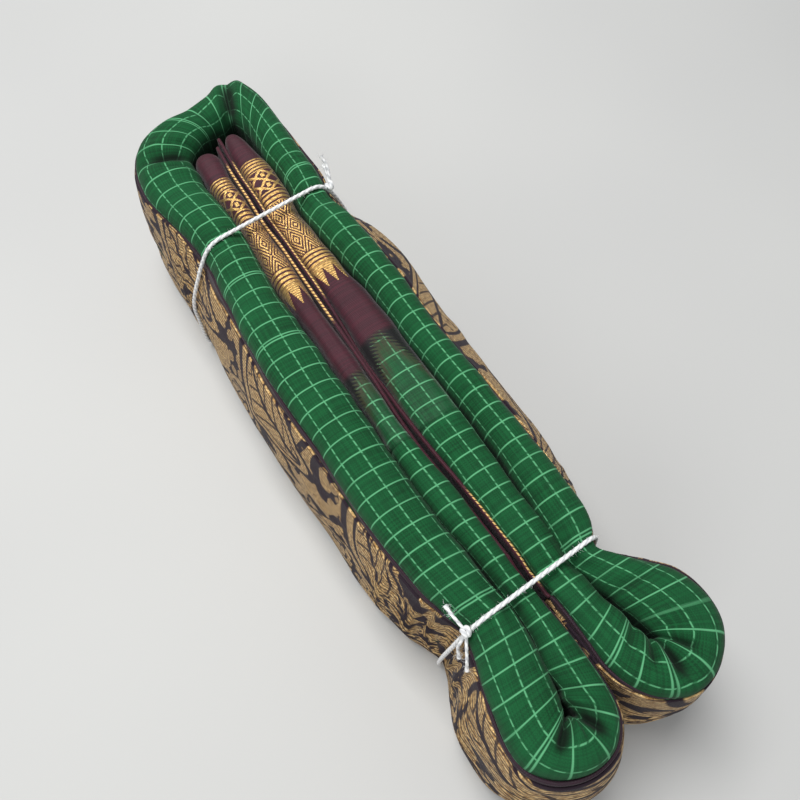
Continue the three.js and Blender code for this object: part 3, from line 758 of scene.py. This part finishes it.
def edge_cloth(name, colours, stretches):
    """Plain dark cloth of a fold edge, with gold thread along the very edge in the stretches given."""
    maker = Maker(name)
    u, v = maker.cloth_place()
    glint = maker.noise(maker.join(u * 1.2, v * 1.2, 2.0), 1.0, 2.0)
    dash = (u + v * 1.1).saw(1.9).below(0.66, 0.15)
    on_edge = abs(v - 0.5).below(0.55, 0.15)
    gold_mask = dash * on_edge * maker.ramp(glint, 0.3, 0.5, 0.4, 1.0)
    within = [band(u, start, end, 3.0) for start, end in stretches]
    gold_mask = gold_mask * (within[0] if len(within) == 1 else within[0].max(within[1]))
    base = maker.shade(glint, 0.3, 0.7, colours.maroon_dark, colours.maroon)
    base = maker.mix(maker.ramp(abs(v), 1.0, 4.0, 0.0, 0.85), base, rgb(colours.aubergine))
    colour = maker.mix(gold_mask, base, rgb(colours.gold))
    finish_cloth(maker, u, v, colour, 0.55, 0.08, gold_mask * 1.2, 0.4)
    maker.set(Metallic=gold_mask * 0.5)
    return maker.material


def cotton_string(colours):
    """Soft white cotton, with painted shade in the twisting grooves between its plies."""
    maker = Maker("white cotton string")
    u, v = maker.cloth_place()
    ply = (u * (math.tau / 3.4) + v * (math.tau / 2.83)).sin()
    fibre = maker.noise(maker.join(u * 3.0, v * 3.0, 1.0), 1.0, 3.0)
    # Painted shade: darker along the twisting grooves between the plies, broken up by fibre noise.
    shade = maker.ramp(ply + fibre, -0.6, 1.2, 0.0, 1.0)
    colour = maker.mix(shade, rgb(colours.painted_ply_shade), rgb(colours.string))
    maker.set(
        Base_Color=colour,
        Roughness=0.92,
        Normal=maker.bump(ply * 0.5 + fibre, 0.5, 0.0003),
        Sheen_Weight=0.4,
        Specular_IOR_Level=0.2,
    )
    return maker.material


def floor_paint(colours):
    """A pale, very faintly mottled surface."""
    maker = Maker("pale floor")
    place = maker.add("ShaderNodeTexCoord", {}, [], output=3)
    cloud = maker.noise(place, 3.0, 2.0)
    colour = maker.shade(cloud, 0.3, 0.7, colours.floor_shade, colours.floor)
    maker.set(Base_Color=colour, Roughness=0.7, Specular_IOR_Level=0.2)
    return maker.material


def colour_property(name, description, default):
    settings = {"subtype": "COLOR", "size": 3, "min": 0, "max": 1}
    return FloatVectorProperty(name=name, description=description, default=default, **settings)


def length_property(name, description, default):
    return FloatProperty(name=name, description=description, unit="LENGTH", min=0.0, default=default)


class SariSizes(bpy.types.PropertyGroup):
    check_pitch: length_property("Check pitch", "Distance between the check lines", 0.0081)
    line_width: length_property("Line width", "Width of a check line", 0.00052)
    cloth: length_property("Cloth", "Thickness of the folded layer that shows", 0.0006)
    string: length_property("String", "Diameter of the tying string", 0.0017)


class SariColours(bpy.types.PropertyGroup):
    green: colour_property("Green", "Main cloth", (0.0035, 0.082, 0.022))
    green_dark: colour_property("Dark green", "Main cloth between slubs", (0.0015, 0.036, 0.010))
    green_light: colour_property("Light green", "Main cloth where it is worn", (0.008, 0.105, 0.034))
    check_line: colour_property("Check line", "Pale line of the check", (0.10, 0.36, 0.17))
    maroon: colour_property("Maroon", "Plain part of the border", (0.066, 0.011, 0.021))
    maroon_dark: colour_property("Dark maroon", "Border between threads", (0.034, 0.008, 0.014))
    gold: colour_property("Gold", "Gold thread of the border", (0.95, 0.62, 0.22))
    gold_dark: colour_property("Dark gold", "Gold thread in shade", (0.38, 0.20, 0.060))
    old_gold: colour_property("Old gold", "Gold thread of the end piece", (0.86, 0.60, 0.27))
    aubergine: colour_property("Aubergine", "Ground of the end piece", (0.017, 0.008, 0.015))
    red_tint: colour_property("Red tint", "Green crossed by maroon threads", (0.050, 0.022, 0.016))
    comb: colour_property("Comb", "Dark threads where border meets check", (0.006, 0.005, 0.006))
    string: colour_property("String", "Tying string", (0.86, 0.86, 0.85))
    # Painted shade for the grooves between the string's plies.
    painted_ply_shade: colour_property("String shade", "Between the string's plies", (0.55, 0.56, 0.57))
    floor: colour_property("Floor", "Surface that the bundle lies on", (0.53, 0.53, 0.515))
    floor_shade: colour_property("Floor shade", "Faint mottling of the surface", (0.495, 0.495, 0.485))


STRIP = Strip(2.2, 0.8)


def border_limits():
    """The sections where the checked cloth starts and ends, at BORDER_END on the two inner legs."""
    start = STRIP.station((BORDER_END, -11.0))
    stop = STRIP.station((BORDER_END, 6.0))
    return start, stop


def crease_depth(strip, inward):
    """The depth of all creases. inward is 0 at the roll's inner side and 1 at its outer one.

    A crease is a sharp valley between two low lips. It runs across the strip and fades out past its reach.
    """
    total = np.zeros(np.broadcast(strip.along[:, None], inward).shape)
    for crease in CREASES:
        middle = STRIP.along[STRIP.station(crease["at"])]
        width = crease["width"] * (1.0 - 0.4 * inward)
        aside = np.abs(strip.along[:, None] - middle)
        valley = np.exp(-(aside / width) ** 1.3)
        lips = 0.30 * np.exp(-((aside - 2.6 * width) / (1.3 * width)) ** 2)
        dent = valley - lips
        faded = 1.0 - smooth_step(0.35, crease["reach"] + 0.1, inward)
        total += crease["depth"] * dent * faded * (0.35 + 0.65 * smooth_step(0.0, 0.2, inward))
    return total


def string_gather(strip, round_place):
    """Small folds that run out from under each string, dying away within about 15 mm of it."""
    x = strip.middle[:, 0][:, None]
    total = np.zeros(np.broadcast(x, round_place).shape)
    for string, depth in ((FAR_STRING, 0.35), (NEAR_STRING, 0.6)):
        middle = (string["left"] + string["right"]) / 2
        away = np.abs(x - middle)
        total += depth * np.exp(-away / 9.0) * np.sin(round_place * math.tau / 7.5 + 0.05 * away)
    return total


def green_surface(strip, crown_steps=38, wall_steps=8):
    """The cloth of a stretch: its sections, uneven by slow ripples, creases and the strings' gathers.

    The relief moves each place towards or away from a line inside the roll, and fades out at the foot.
    """
    away, z = section_away(strip, wall_steps, crown_steps, 4)
    crown_middle = wall_steps + crown_steps // 2
    round_place = arc_lengths(away, z, crown_middle)
    relief = 0.55 * ripple(4, strip.along[:, None], round_place, 46.0)
    relief += 0.24 * ripple(9, strip.along[:, None], round_place * 0.6, 15.0)
    relief += string_gather(strip, round_place)
    share = np.clip(1.0 - away / strip.width[:, None], 0.0, 1.0)
    creases = crease_depth(strip, share)
    relief -= creases
    # Painted shade down the roll's sides from 4 to 13 mm below the top, added to the painted shade in creases.
    painted_side_shade = smooth_step(4.0, 13.0, strip.top[:, None] - z)
    hollow = np.clip(creases / 3.6, 0.0, 1.0) + 0.75 * painted_side_shade
    axis_away = strip.width[:, None] / 2
    axis_z = (strip.top - strip.crown)[:, None]
    out_away = away - axis_away
    out_z = np.maximum(z - axis_z, 0.0)
    reach = np.maximum(np.hypot(out_away, out_z), 1e-6)
    fade = smooth_step(0.0, 25.0, z)
    moved_away = away + out_away / reach * relief * fade
    moved_z = z + out_z / reach * relief * fade
    return moved_away, moved_z, round_place, np.clip(hollow, 0.0, 1.0)


def tube_piece(name, strip, away, z, round_place, hollow, thickness):
    """A stretch of folded cloth as one tube all round, with cloth thickness inwards."""
    uv = np.stack(np.broadcast_arrays(strip.along[:, None], round_place), axis=2) * MM
    piece = grid_mesh(name, to_points(strip, away, z), uv, closed_across=True, hollow=hollow)
    turn_outwards(piece)
    give_thickness(piece, thickness)
    return piece


def all_round(strip, away, z):
    """The flat size of the cloth that shows on a tube: its mean distance round, and its length."""
    around = float(np.mean(np.sum(np.hypot(np.diff(away, axis=1), np.diff(z, axis=1)), axis=1)))
    points = to_points(strip, away, z)
    edge = np.linalg.norm(np.diff(points, axis=0), axis=2)
    return around * MM, float(np.mean(np.sum(edge, axis=0)))


class SARI_OT_checked_cloth(bpy.types.Operator):
    """The checked green strip, from one border round both loops and the far turn to the other border."""

    bl_idname = "sari.checked_cloth"
    bl_label = "Checked cloth"

    def execute(self, context):
        scene = context.scene
        start, stop = border_limits()
        strip = STRIP.cut(start, stop + 1)
        away, z, round_place, hollow = green_surface(strip)
        thickness = scene.sari_sizes.cloth / MM
        piece = tube_piece("checked_cloth", strip, away, z, round_place, hollow, thickness)
        piece.data.materials.append(checked_cotton(scene.sari_colours, scene.sari_sizes))
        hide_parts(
            "body_inner_left", "body_left_loop", "body_outer_left", "body_far_turn",
            "body_outer_right", "body_right_loop", "body_inner_right",
        )
        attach(piece, "root")
        all_round(strip, away, z)
        return {"FINISHED"}


class SARI_OT_borders(bpy.types.Operator):
    """The two inner legs' free ends, with the gold band across them and rounded tips."""

    bl_idname = "sari.borders"
    bl_label = "Borders"

    def execute(self, context):
        scene = context.scene
        start, stop = border_limits()
        last = len(STRIP.along)
        for side, first, end, tip_first in (("left", 0, start + 1, True), ("right", stop, last, False)):
            strip = STRIP.cut(first, end)
            tip = STRIP.along[0] if tip_first else STRIP.along[-1]
            direction = 1.0 if tip_first else -1.0
            self.round_tip(strip, np.abs(strip.along - tip))
            away, z, round_place, hollow = green_surface(strip)
            thickness = scene.sari_sizes.cloth / MM
            piece = tube_piece(f"border_{side}", strip, away, z, round_place, hollow, thickness)
            self.close_tip(piece, strip, tip_first)
            gold_start = tip + direction * (19.0 if tip_first else 21.0)
            meeting = (1.0, -11.0) if tip_first else (-10.0, 6.0)
            green_start = float(STRIP.along[STRIP.station(meeting)])
            places = (gold_start, green_start, direction)
            material = border_cloth(f"{side} border cloth", scene.sari_colours, scene.sari_sizes, *places)
            piece.data.materials.append(material)
            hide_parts(f"border_inner_{side}")
            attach(piece, "root")
            all_round(strip, away, z)
        return {"FINISHED"}

    def round_tip(self, strip, from_tip):
        """Narrows and lowers the sections towards the tip as a quarter ellipse."""
        part = np.clip(from_tip / 8.0, 0.0, 1.0)
        full = 0.30 + 0.70 * np.sqrt(1.0 - (1.0 - part) ** 2)
        middle = strip.middle.copy()
        strip.outer = middle + (strip.outer - middle) * full[:, None]
        strip.inner = middle + (strip.inner - middle) * full[:, None]
        strip.width = strip.width * full
        strip.top = strip.top - strip.crown * 0.9 * (1.0 - full)
        strip.crown = strip.crown * full

    def close_tip(self, piece, strip, tip_first):
        """Fills the open ring at the tip."""
        count = len(piece.data.vertices) // len(strip.along)
        first = 0 if tip_first else len(piece.data.vertices) - count
        ring = list(range(first, first + count))
        mesh = piece.data
        vertices = np.empty(len(mesh.vertices) * 3)
        mesh.vertices.foreach_get("co", vertices)
        bm_faces = [list(face.vertices) for face in mesh.polygons]
        ordered = ring[::-1] if tip_first else ring
        reference = bm_faces[0] if tip_first else bm_faces[-1]
        if self.same_way(reference, ordered, count):
            ordered = ordered[::-1]
        uv_old = np.empty(len(mesh.loops) * 2)
        mesh.uv_layers["cloth"].data.foreach_get("uv", uv_old)
        closed = bpy.data.meshes.new(mesh.name)
        closed.from_pydata(vertices.reshape(-1, 3).tolist(), [], bm_faces + [ordered])
        layer = closed.uv_layers.new(name="cloth")
        tip_uv = uv_old[:2] if tip_first else uv_old[-2:]
        layer.data.foreach_set("uv", np.concatenate([uv_old, np.tile(tip_uv, count)]).astype(np.float32))
        hollow = np.empty(len(mesh.vertices))
        mesh.attributes["hollow"].data.foreach_get("value", hollow)
        closed.attributes.new("hollow", "FLOAT", "POINT").data.foreach_set("value", hollow)
        closed.polygons.foreach_set("use_smooth", [True] * (len(bm_faces)) + [False])
        closed.update()
        piece.data = closed

    def same_way(self, face, ring, count):
        """Whether a face and the ring pass their shared edge in the same direction."""
        shared = [vertex for vertex in face if vertex in ring]
        order = {vertex: index for index, vertex in enumerate(ring)}
        pairs = [(face[index], face[(index + 1) % 4]) for index in range(4)]
        edge = next(pair for pair in pairs if pair[0] in order and pair[1] in order)
        return len(shared) == 2 and (order[edge[1]] - order[edge[0]]) % count == 1


def wall_surface(strip, offset, top_height, fold_depth, seed, wave):
    """One layer of the end piece: up the outer side, over a small round fold and a little way back down.

    Billows are slow ripples that vanish at the foot; near each string the layer is drawn in and gathered.
    """
    levels = np.linspace(0.0, 1.0, 40)[None, :]
    rise = top_height[:, None] * levels
    wall_top = (strip.top - strip.crown)[:, None]
    level_of_wall = np.clip(rise / wall_top, 0.0, 1.0)
    billow = wave * ripple(seed, strip.along[:, None], rise * 0.8, 55.0)
    billow += 0.35 * wave * ripple(seed + 1, strip.along[:, None] + rise * 0.5, rise, 19.0)
    x = strip.middle[:, 0][:, None]
    gather = np.zeros_like(billow)
    for string, depth, fade in ((FAR_STRING, 1.2, 18.0), (NEAR_STRING, 2.3, 40.0)):
        near = np.exp(-np.abs(x - string["under"]) / fade)
        turn = rise * math.tau / 14.0 + np.abs(x - string["under"]) * 0.05
        gather += near * depth * (1.0 - 2.0 * np.abs(np.sin(turn)) ** 0.7)
        billow = billow * (1.0 - 0.6 * near)
    right_leg = (strip.middle[:, 1] > 0) & (np.abs(strip.middle[:, 0]) < 110) & (strip.across[:, 1] < 0)
    full = np.where(right_leg, smooth_step(-88.0, -66.0, strip.middle[:, 0]), 0.0)
    full = full * (1.0 - smooth_step(72.0, 96.0, strip.middle[:, 0]))
    swell = strip.swell + 1.5 * full
    reach = 0.45 - 0.20 * full
    out = wall_out(level_of_wall, swell[:, None], reach[:, None]) + offset
    least = -offset * 0.4 - 0.3
    out = out + np.maximum(billow + gather, least) * np.sin(np.pi * np.clip(levels * 0.95, 0, 1))
    turn = np.linspace(0.0, np.pi, 9)[None, 1:]
    radius = 0.55
    edge_out = out[:, -1:]
    round_out = edge_out - radius * (1.0 - np.cos(turn))
    round_z = top_height[:, None] + radius * np.sin(turn)
    down = np.linspace(0.0, 1.0, 6)[None, 1:]
    down_out = np.broadcast_to(round_out[:, -1:], (len(round_out), down.shape[1]))
    down_z = top_height[:, None] - fold_depth * down
    away = -np.concatenate([out, round_out, down_out], axis=1)
    z = np.concatenate([rise, round_z, down_z], axis=1)
    return away, z


def wall_piece(name, strip, away, z, from_edge=False):
    round_place = arc_lengths(away, z, 43 if from_edge else 0)
    uv = np.stack(np.broadcast_arrays(strip.along[:, None], round_place), axis=2) * MM
    piece = grid_mesh(name, to_points(strip, away, z), uv)
    give_thickness(piece, 0.35, 0.0)
    return piece


class SARI_OT_end_piece(bpy.types.Operator):
    """The figured end piece round the outside, in layers whose fold edges lie just below the green."""

    bl_idname = "sari.end_piece"
    bl_label = "End piece"

    def execute(self, context):
        scene = context.scene
        material = brocade(scene.sari_colours)
        start = STRIP.station((107.0, -2.5))
        stop = STRIP.station((107.0, 11.5))
        strip = STRIP.cut(start, stop + 1)
        wall_top = strip.top - strip.crown
        outermost = wall_top - 1.0 + 1.4 * ripple(21, strip.along, 0.0, 70.0)
        under = wall_top + 1.3 + 0.6 * ripple(23, strip.along, 0.0, 60.0)
        shown = [f"pallu_{name}" for name in ("outer_left", "outer_right", "far_turn", "left_loop", "right_loop")]
        layers = (
            ("end_piece_outer", 1.55, outermost, 31, 1.0, shown),
            ("end_piece_under", 0.55, under, 31, 0.6, []),
        )
        dark = edge_cloth("plain fold edge", scene.sari_colours, [(0.0, 1.0)])
        for name, offset, top_height, seed, wave, replaced in layers:
            away, z = wall_surface(strip, offset, top_height, 9.0, seed, wave)
            piece = wall_piece(name, strip, away, z)
            piece.data.materials.append(material if replaced else dark)
            if replaced:
                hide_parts(*replaced)
            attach(piece, "root")
            all_round(strip, away, z)
        return {"FINISHED"}


class SARI_OT_fold_edges(bpy.types.Operator):
    """The end piece's fold edges that stand between the two inner legs."""

    bl_idname = "sari.fold_edges"
    bl_label = "Fold edges"

    def execute(self, context):
        scene = context.scene
        for side in ("left", "right"):
            if side == "left":
                strip = STRIP.cut(3, STRIP.station((107.0, -2.5)) + 1)
            else:
                strip = STRIP.cut(STRIP.station((107.0, 11.5)), len(STRIP.along) - 3)
            x = strip.middle[:, 0]
            if side == "left":
                sunk = 1.2 + 7.0 * smooth_step(-5.0, 40.0, x)
            else:
                sunk = 1.2 + 6.0 * smooth_step(-45.0, 0.0, x) - 1.8 * smooth_step(15.0, 60.0, x)
            height = strip.top - sunk + 0.4 * ripple(41, strip.along, 0.0, 40.0)
            away, z = wall_surface(strip, 1.25, height, 9.0, 43, 0.12)
            piece = wall_piece(f"fold_edge_{side}", strip, away, z, True)
            ends = [(-116.0, -25.0)] if side == "left" else [(-116.0, -38.0), (62.0, 100.0)]
            stretches = []
            for pair in ends:
                stretches.append(sorted(float(strip.along[np.argmin(np.abs(x - end))]) for end in pair))
            material = edge_cloth(f"{side} fold edge", scene.sari_colours, stretches)
            piece.data.materials.append(material)
            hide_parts(f"pallu_inner_{side}")
            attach(piece, "root")
            all_round(strip, away, z)
        return {"FINISHED"}


def even_steps(points, step, closed=False):
    """The same path at even steps, through a cubic in its length."""
    points = np.asarray(points, dtype=float)
    if closed:
        points = np.concatenate([points, points[:1]])
    lengths = np.linalg.norm(np.diff(points, axis=0), axis=1)
    along = np.concatenate([[0.0], np.cumsum(lengths)])
    count = max(int(along[-1] / step), 4)
    at = np.linspace(0.0, along[-1], count + 1)
    return np.stack([through(along, points[:, axis], at) for axis in range(3)], axis=1), at


def twisted_string(name, points, diameter, closed=False, frayed=False):
    """A two-ply string: a tube along the path, pinched in twice round, whose pinch turns along its length."""
    path, along = even_steps(points, 0.35, closed)
    ahead = np.gradient(path, axis=0)
    if closed:
        ahead[0] = ahead[-1] = path[1] - path[-2]
    ahead /= np.linalg.norm(ahead, axis=1)[:, None]
    side = np.where(np.abs(ahead[:, :1]) < 0.8, np.array([[1.0, 0, 0]]), np.array([[0, 1.0, 0]]))
    if not closed:
        side = np.broadcast_to(side[len(side) // 2], ahead.shape)
    across = np.cross(ahead, side)
    across /= np.linalg.norm(across, axis=1)[:, None]
    third = np.cross(ahead, across)
    sides = 14
    turn = np.linspace(0.0, math.tau, sides + 1)[None, :]
    turns = round(along[-1] / PLY_LENGTH) if closed else along[-1] / PLY_LENGTH
    twist = along[:, None] / along[-1] * turns * math.tau
    radius = diameter / 2 * (0.95 + 0.07 * np.cos(2.0 * (turn - twist)))
    if frayed:
        radius = radius * (1.0 + 0.45 * smooth_step(along[-1] - 2.5, along[-1], along)[:, None])
    if not closed:
        radius = radius * smooth_step(-0.4, 0.35, along)[:, None]
    cosine = np.cos(turn)[:, :, None]
    sine = np.sin(turn)[:, :, None]
    offsets = across[:, None, :] * cosine + third[:, None, :] * sine
    grid = path[:, None, :] + offsets * radius[:, :, None]
    uv = np.stack(np.broadcast_arrays(along[:, None], turn * diameter / 2), axis=2) * MM
    grid = (grid + np.array([*PLAN_SHIFT, 0.0])) * MM
    return grid_mesh(name, grid, uv, closed_across=True, closed_along=closed)


def bundle_hull(string):
    """The string's course: the convex hull of the section there, moved out by the string's radius."""
    xs = np.linspace(min(string["left"], string["right"]), max(string["left"], string["right"]), 5)
    cloud = []
    for x in xs:
        for side, sign in (("left", -1.0), ("right", 1.0)):
            edge = float(through(PLAN["x"], PLAN[f"outer_{side}"], x))
            crease = float(through(PLAN["x"], PLAN[f"crease_{side}"], x))
            swell = float(through(PLAN["x"], PLAN[f"swell_{side}"], x))
            top = HEIGHT - float(string_dip(np.array(x)))
            level = np.linspace(0.0, 1.0, 16)
            wall = wall_out(level, swell) + CLEAR + END_WALL
            wall_z = np.maximum(level * (top - OUTER_CROWN), 2.3)
            cloud.append(np.stack([edge + sign * wall, wall_z], axis=1))
            turn = np.linspace(0.0, np.pi, 20)
            crown_y = edge + (crease - edge) * (1 - np.cos(turn)) / 2
            cloud.append(np.stack([crown_y, top - OUTER_CROWN * (1 - np.sin(turn))], axis=1))
    cloud = np.concatenate(cloud)
    order = cloud[np.lexsort((cloud[:, 1], cloud[:, 0]))]

    def chain(points):
        kept = []
        for point in points:
            while len(kept) > 1 and np.cross(kept[-1] - kept[-2], point - kept[-1]) <= 1e-9:
                kept.pop()
            kept.append(point)
        return kept[:-1]

    hull = np.array(chain(order) + chain(order[::-1]))
    closed = np.concatenate([hull, hull[:1]])
    along = np.concatenate([[0.0], np.cumsum(np.linalg.norm(np.diff(closed, axis=0), axis=1))])
    at = np.linspace(0.0, along[-1], 240, endpoint=False)
    course = np.stack([np.interp(at, along, closed[:, axis]) for axis in (0, 1)], axis=1)
    window = np.array([1.0, 2.0, 3.0, 2.0, 1.0]) / 9.0
    smooth = sum(weight * np.roll(course, shift, axis=0) for weight, shift in zip(window, range(-2, 3)))
    ahead = np.roll(smooth, -1, axis=0) - np.roll(smooth, 1, axis=0)
    outward = np.stack([ahead[:, 1], -ahead[:, 0]], axis=1)
    outward /= np.linalg.norm(outward, axis=1)[:, None]
    return smooth + outward


def string_course(string):
    """Points of the closed string: the hull, slanted over the top and straight underneath."""
    course = bundle_hull(string)
    low = course[:, 0].min()
    share = (course[:, 0] - low) / (course[:, 0].max() - low)
    over = string["left"] + (string["right"] - string["left"]) * share
    height = smooth_step(2.0, HEIGHT - OUTER_CROWN, course[:, 1])
    x = string["under"] + (over - string["under"]) * height
    return np.stack([x, course[:, 0], course[:, 1]], axis=1)


def short_fibres(name, path, count, reach, seed):
    """Loose fibres: thin three-sided spikes that stand off a path in random directions."""
    numbers = np.random.default_rng(seed)
    path, _ = even_steps(path, 0.4)
    root = path[numbers.integers(0, len(path), count)]
    direction = numbers.normal(size=(count, 3))
    direction /= np.linalg.norm(direction, axis=1)[:, None]
    start = root + direction * 0.7
    bend = numbers.normal(size=(count, 3)) * reach * 0.35
    length = reach * numbers.uniform(0.4, 1.0, count)[:, None]
    middle = start + direction * length * 0.5
    end = start + direction * length + bend
    side = np.cross(direction, numbers.normal(size=(count, 3)))
    side /= np.linalg.norm(side, axis=1)[:, None]
    other = np.cross(direction, side)
    corners = []
    for centre, radius in ((start, 0.06), (middle, 0.05), (end, 0.02)):
        for turn in (0.0, math.tau / 3, 2 * math.tau / 3):
            corners.append(centre + (side * math.cos(turn) + other * math.sin(turn)) * radius)
    vertices = np.stack(corners, axis=1).reshape(-1, 3)
    base = np.array([
        (0, 2, 1), (6, 7, 8),
        (0, 1, 4), (0, 4, 3), (1, 2, 5), (1, 5, 4), (2, 0, 3), (2, 3, 5),
        (3, 4, 7), (3, 7, 6), (4, 5, 8), (4, 8, 7), (5, 3, 6), (5, 6, 8),
    ])
    faces = (np.arange(count)[:, None, None] * 9 + base[None]).reshape(-1, 3)
    mesh = bpy.data.meshes.new(name)
    shifted = (vertices + np.array([*PLAN_SHIFT, 0.0])) * MM
    mesh.from_pydata(shifted.tolist(), [], faces.tolist())
    mesh.uv_layers.new(name="cloth")
    piece = bpy.data.objects.new(name, mesh)
    bpy.context.scene.collection.objects.link(piece)
    return piece


def knot_points(centre, size, turns=2.6):
    """The course of string within a knot: it winds round the knot's own axis as it crosses it."""
    share = np.linspace(0.0, 1.0, 40)
    angle = share * turns * math.tau
    return np.stack([
        centre[0] + size * 0.62 * np.cos(angle),
        centre[1] + size * 0.50 * np.sin(angle * 0.5 + 0.4) - size * 0.15,
        centre[2] + size * 0.60 * np.sin(angle) + size * 0.5 * (share - 0.5),
    ], axis=1)


# The strings' loose ends, as places relative to their knot
LOOSE_ENDS = {
    "near": [
        [(-0.6, -0.3, 0.6), (-3.6, -1.0, 1.8), (-7.0, -1.6, 2.4), (-10.6, -1.8, 2.0)],
        [(0.4, -0.8, -1.0), (1.6, -3.2, -4.6), (2.2, -4.2, -8.4), (4.8, -5.0, -12.6)],
        [(0.8, -0.6, -0.8), (4.2, -2.4, -3.8), (7.0, -3.8, -6.8), (9.8, -5.2, -10.8)],
    ],
    "far": [
        [(-0.6, 0.4, 0.8), (-2.6, 1.2, 3.6), (-5.2, 1.8, 6.6), (-8.6, 1.0, 9.8)],
        [(-0.8, 0.4, 0.2), (-4.2, 1.2, 0.9), (-7.4, 2.0, 1.8), (-10.6, 2.6, 1.0)],
    ],
}


class SARI_OT_strings(bpy.types.Operator):
    """The two tying strings with their knots and loose ends."""

    bl_idname = "sari.strings"
    bl_label = "Strings"

    def execute(self, context):
        scene = context.scene
        material = cotton_string(scene.sari_colours)
        diameter = scene.sari_sizes.string / MM
        for name, string, side in (("far", FAR_STRING, 1.0), ("near", NEAR_STRING, -1.0)):
            course = string_course(string)
            made = [(twisted_string(f"tie_{name}", course, diameter, closed=True), [f"tie_{name}"])]
            near_side = np.where(course[:, 1] * side > SIDE_LIMIT, np.abs(course[:, 2] - KNOT_HEIGHT), np.inf)
            knot = course[int(np.argmin(near_side))] + np.array([0.0, side * 1.6, 0.9])
            wound = twisted_string(f"knot_{name}", knot_points(knot, 1.9), diameter)
            made.append((wound, [f"knot_{name}"]))
            for index, route in enumerate(LOOSE_ENDS[name]):
                points = np.array(route) + knot
                piece_name = f"tail_{name}_{index + 1}"
                tail = twisted_string(piece_name, points, diameter * 0.72, frayed=True)
                made.append((tail, [piece_name]))
                fray = short_fibres(f"fray_{name}_{index + 1}", points[-2:], 26, 1.8, 60 + index)
                made.append((fray, []))
            top = course[course[:, 2] > 60.0]
            top = top[np.argsort(top[:, 1])]
            made.append((short_fibres(f"fuzz_{name}", top, 260, 1.1, 90), []))
            for piece, replaced in made:
                turn_outwards(piece)
                piece.data.materials.append(material)
                if replaced:
                    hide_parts(*replaced)
                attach(piece, "root")
        return {"FINISHED"}


class SARI_OT_stage(bpy.types.Operator):
    """The pale surface, the soft light and the camera."""

    bl_idname = "sari.stage"
    bl_label = "Stage"

    def execute(self, context):
        scene = context.scene
        self.floor(scene)
        self.lights(scene)
        self.camera(scene)
        scene.view_settings.view_transform = "Standard"
        return {"FINISHED"}

    def floor(self, scene):
        half = 3.0
        mesh = bpy.data.meshes.new("surface")
        corners = [(-half, -half, 0), (half, -half, 0), (half, half, 0), (-half, half, 0)]
        mesh.from_pydata(corners, [], [(0, 1, 2, 3)])
        surface = bpy.data.objects.new("surface", mesh)
        scene.collection.objects.link(surface)
        mesh.materials.append(floor_paint(scene.sari_colours))

    def lights(self, scene):
        world = bpy.data.worlds.new("soft room")
        world.use_nodes = True
        background = world.node_tree.nodes["Background"]
        background.inputs["Color"].default_value = (0.93, 0.96, 1.0, 1.0)
        background.inputs["Strength"].default_value = 0.34
        scene.world = world
        for name, place, size, power in (
            ("overhead softbox", (-0.30, -0.10, 1.15), 0.55, 15.0),
            ("side softbox", (0.75, -0.75, 0.75), 0.7, 4.0),
        ):
            light = bpy.data.lights.new(name, "AREA")
            light.size = size
            light.energy = power
            lamp = bpy.data.objects.new(name, light)
            lamp.location = place
            aim = Vector((0, 0, 0.04)) - Vector(place)
            lamp.rotation_euler = aim.to_track_quat("-Z", "Y").to_euler()
            scene.collection.objects.link(lamp)

    def camera(self, scene):
        """The photograph's view: 65 degrees down, 341 mm above the surface."""
        data = bpy.data.cameras.new("view")
        data.sensor_width = 36.0
        data.lens = 35.1
        data.clip_start = 0.01
        camera = bpy.data.objects.new("view", data)
        azimuth = math.radians(58.9)
        elevation = math.radians(65.0)
        ahead = Vector((
            -math.sin(azimuth) * math.cos(elevation),
            math.cos(azimuth) * math.cos(elevation),
            -math.sin(elevation),
        ))
        right = Vector((math.cos(azimuth), math.sin(azimuth), 0.0))
        up = right.cross(ahead)
        turned = Matrix((right, up, -ahead)).transposed().to_4x4()
        place = Vector((124.9 + PLAN_SHIFT[0], -66.2 + PLAN_SHIFT[1], HEIGHT + 261.0)) * MM
        camera.matrix_world = Matrix.Translation(place) @ turned
        scene.collection.objects.link(camera)
        scene.camera = camera


class SARI_PT_panel(bpy.types.Panel):
    """Lists the sari's pieces in the 3D view's sidebar."""

    bl_label = "Folded sari"
    bl_idname = "SARI_PT_panel"
    bl_space_type = "VIEW_3D"
    bl_region_type = "UI"
    bl_category = "Sari"

    def draw(self, context):
        for operator in OPERATORS:
            self.layout.operator(operator.bl_idname)
        for group in (context.scene.sari_sizes, context.scene.sari_colours):
            for name in group.__annotations__:
                self.layout.prop(group, name)


OPERATORS = (
    SARI_OT_stage,
    SARI_OT_strings,
    SARI_OT_checked_cloth,
    SARI_OT_borders,
    SARI_OT_end_piece,
    SARI_OT_fold_edges,
)
CLASSES = (SariSizes, SariColours, *OPERATORS, SARI_PT_panel)


def register():
    for each in CLASSES:
        bpy.utils.register_class(each)
    bpy.types.Scene.sari_sizes = PointerProperty(type=SariSizes)
    bpy.types.Scene.sari_colours = PointerProperty(type=SariColours)


def unregister():
    del bpy.types.Scene.sari_colours
    del bpy.types.Scene.sari_sizes
    for each in reversed(CLASSES):
        bpy.utils.unregister_class(each)


def main():
    register()
    bpy.ops.sari.stage()
    bpy.ops.sari.strings()
    bpy.ops.sari.checked_cloth()
    bpy.ops.sari.borders()
    bpy.ops.sari.end_piece()
    bpy.ops.sari.fold_edges()


if __name__ == "__main__":
    main()
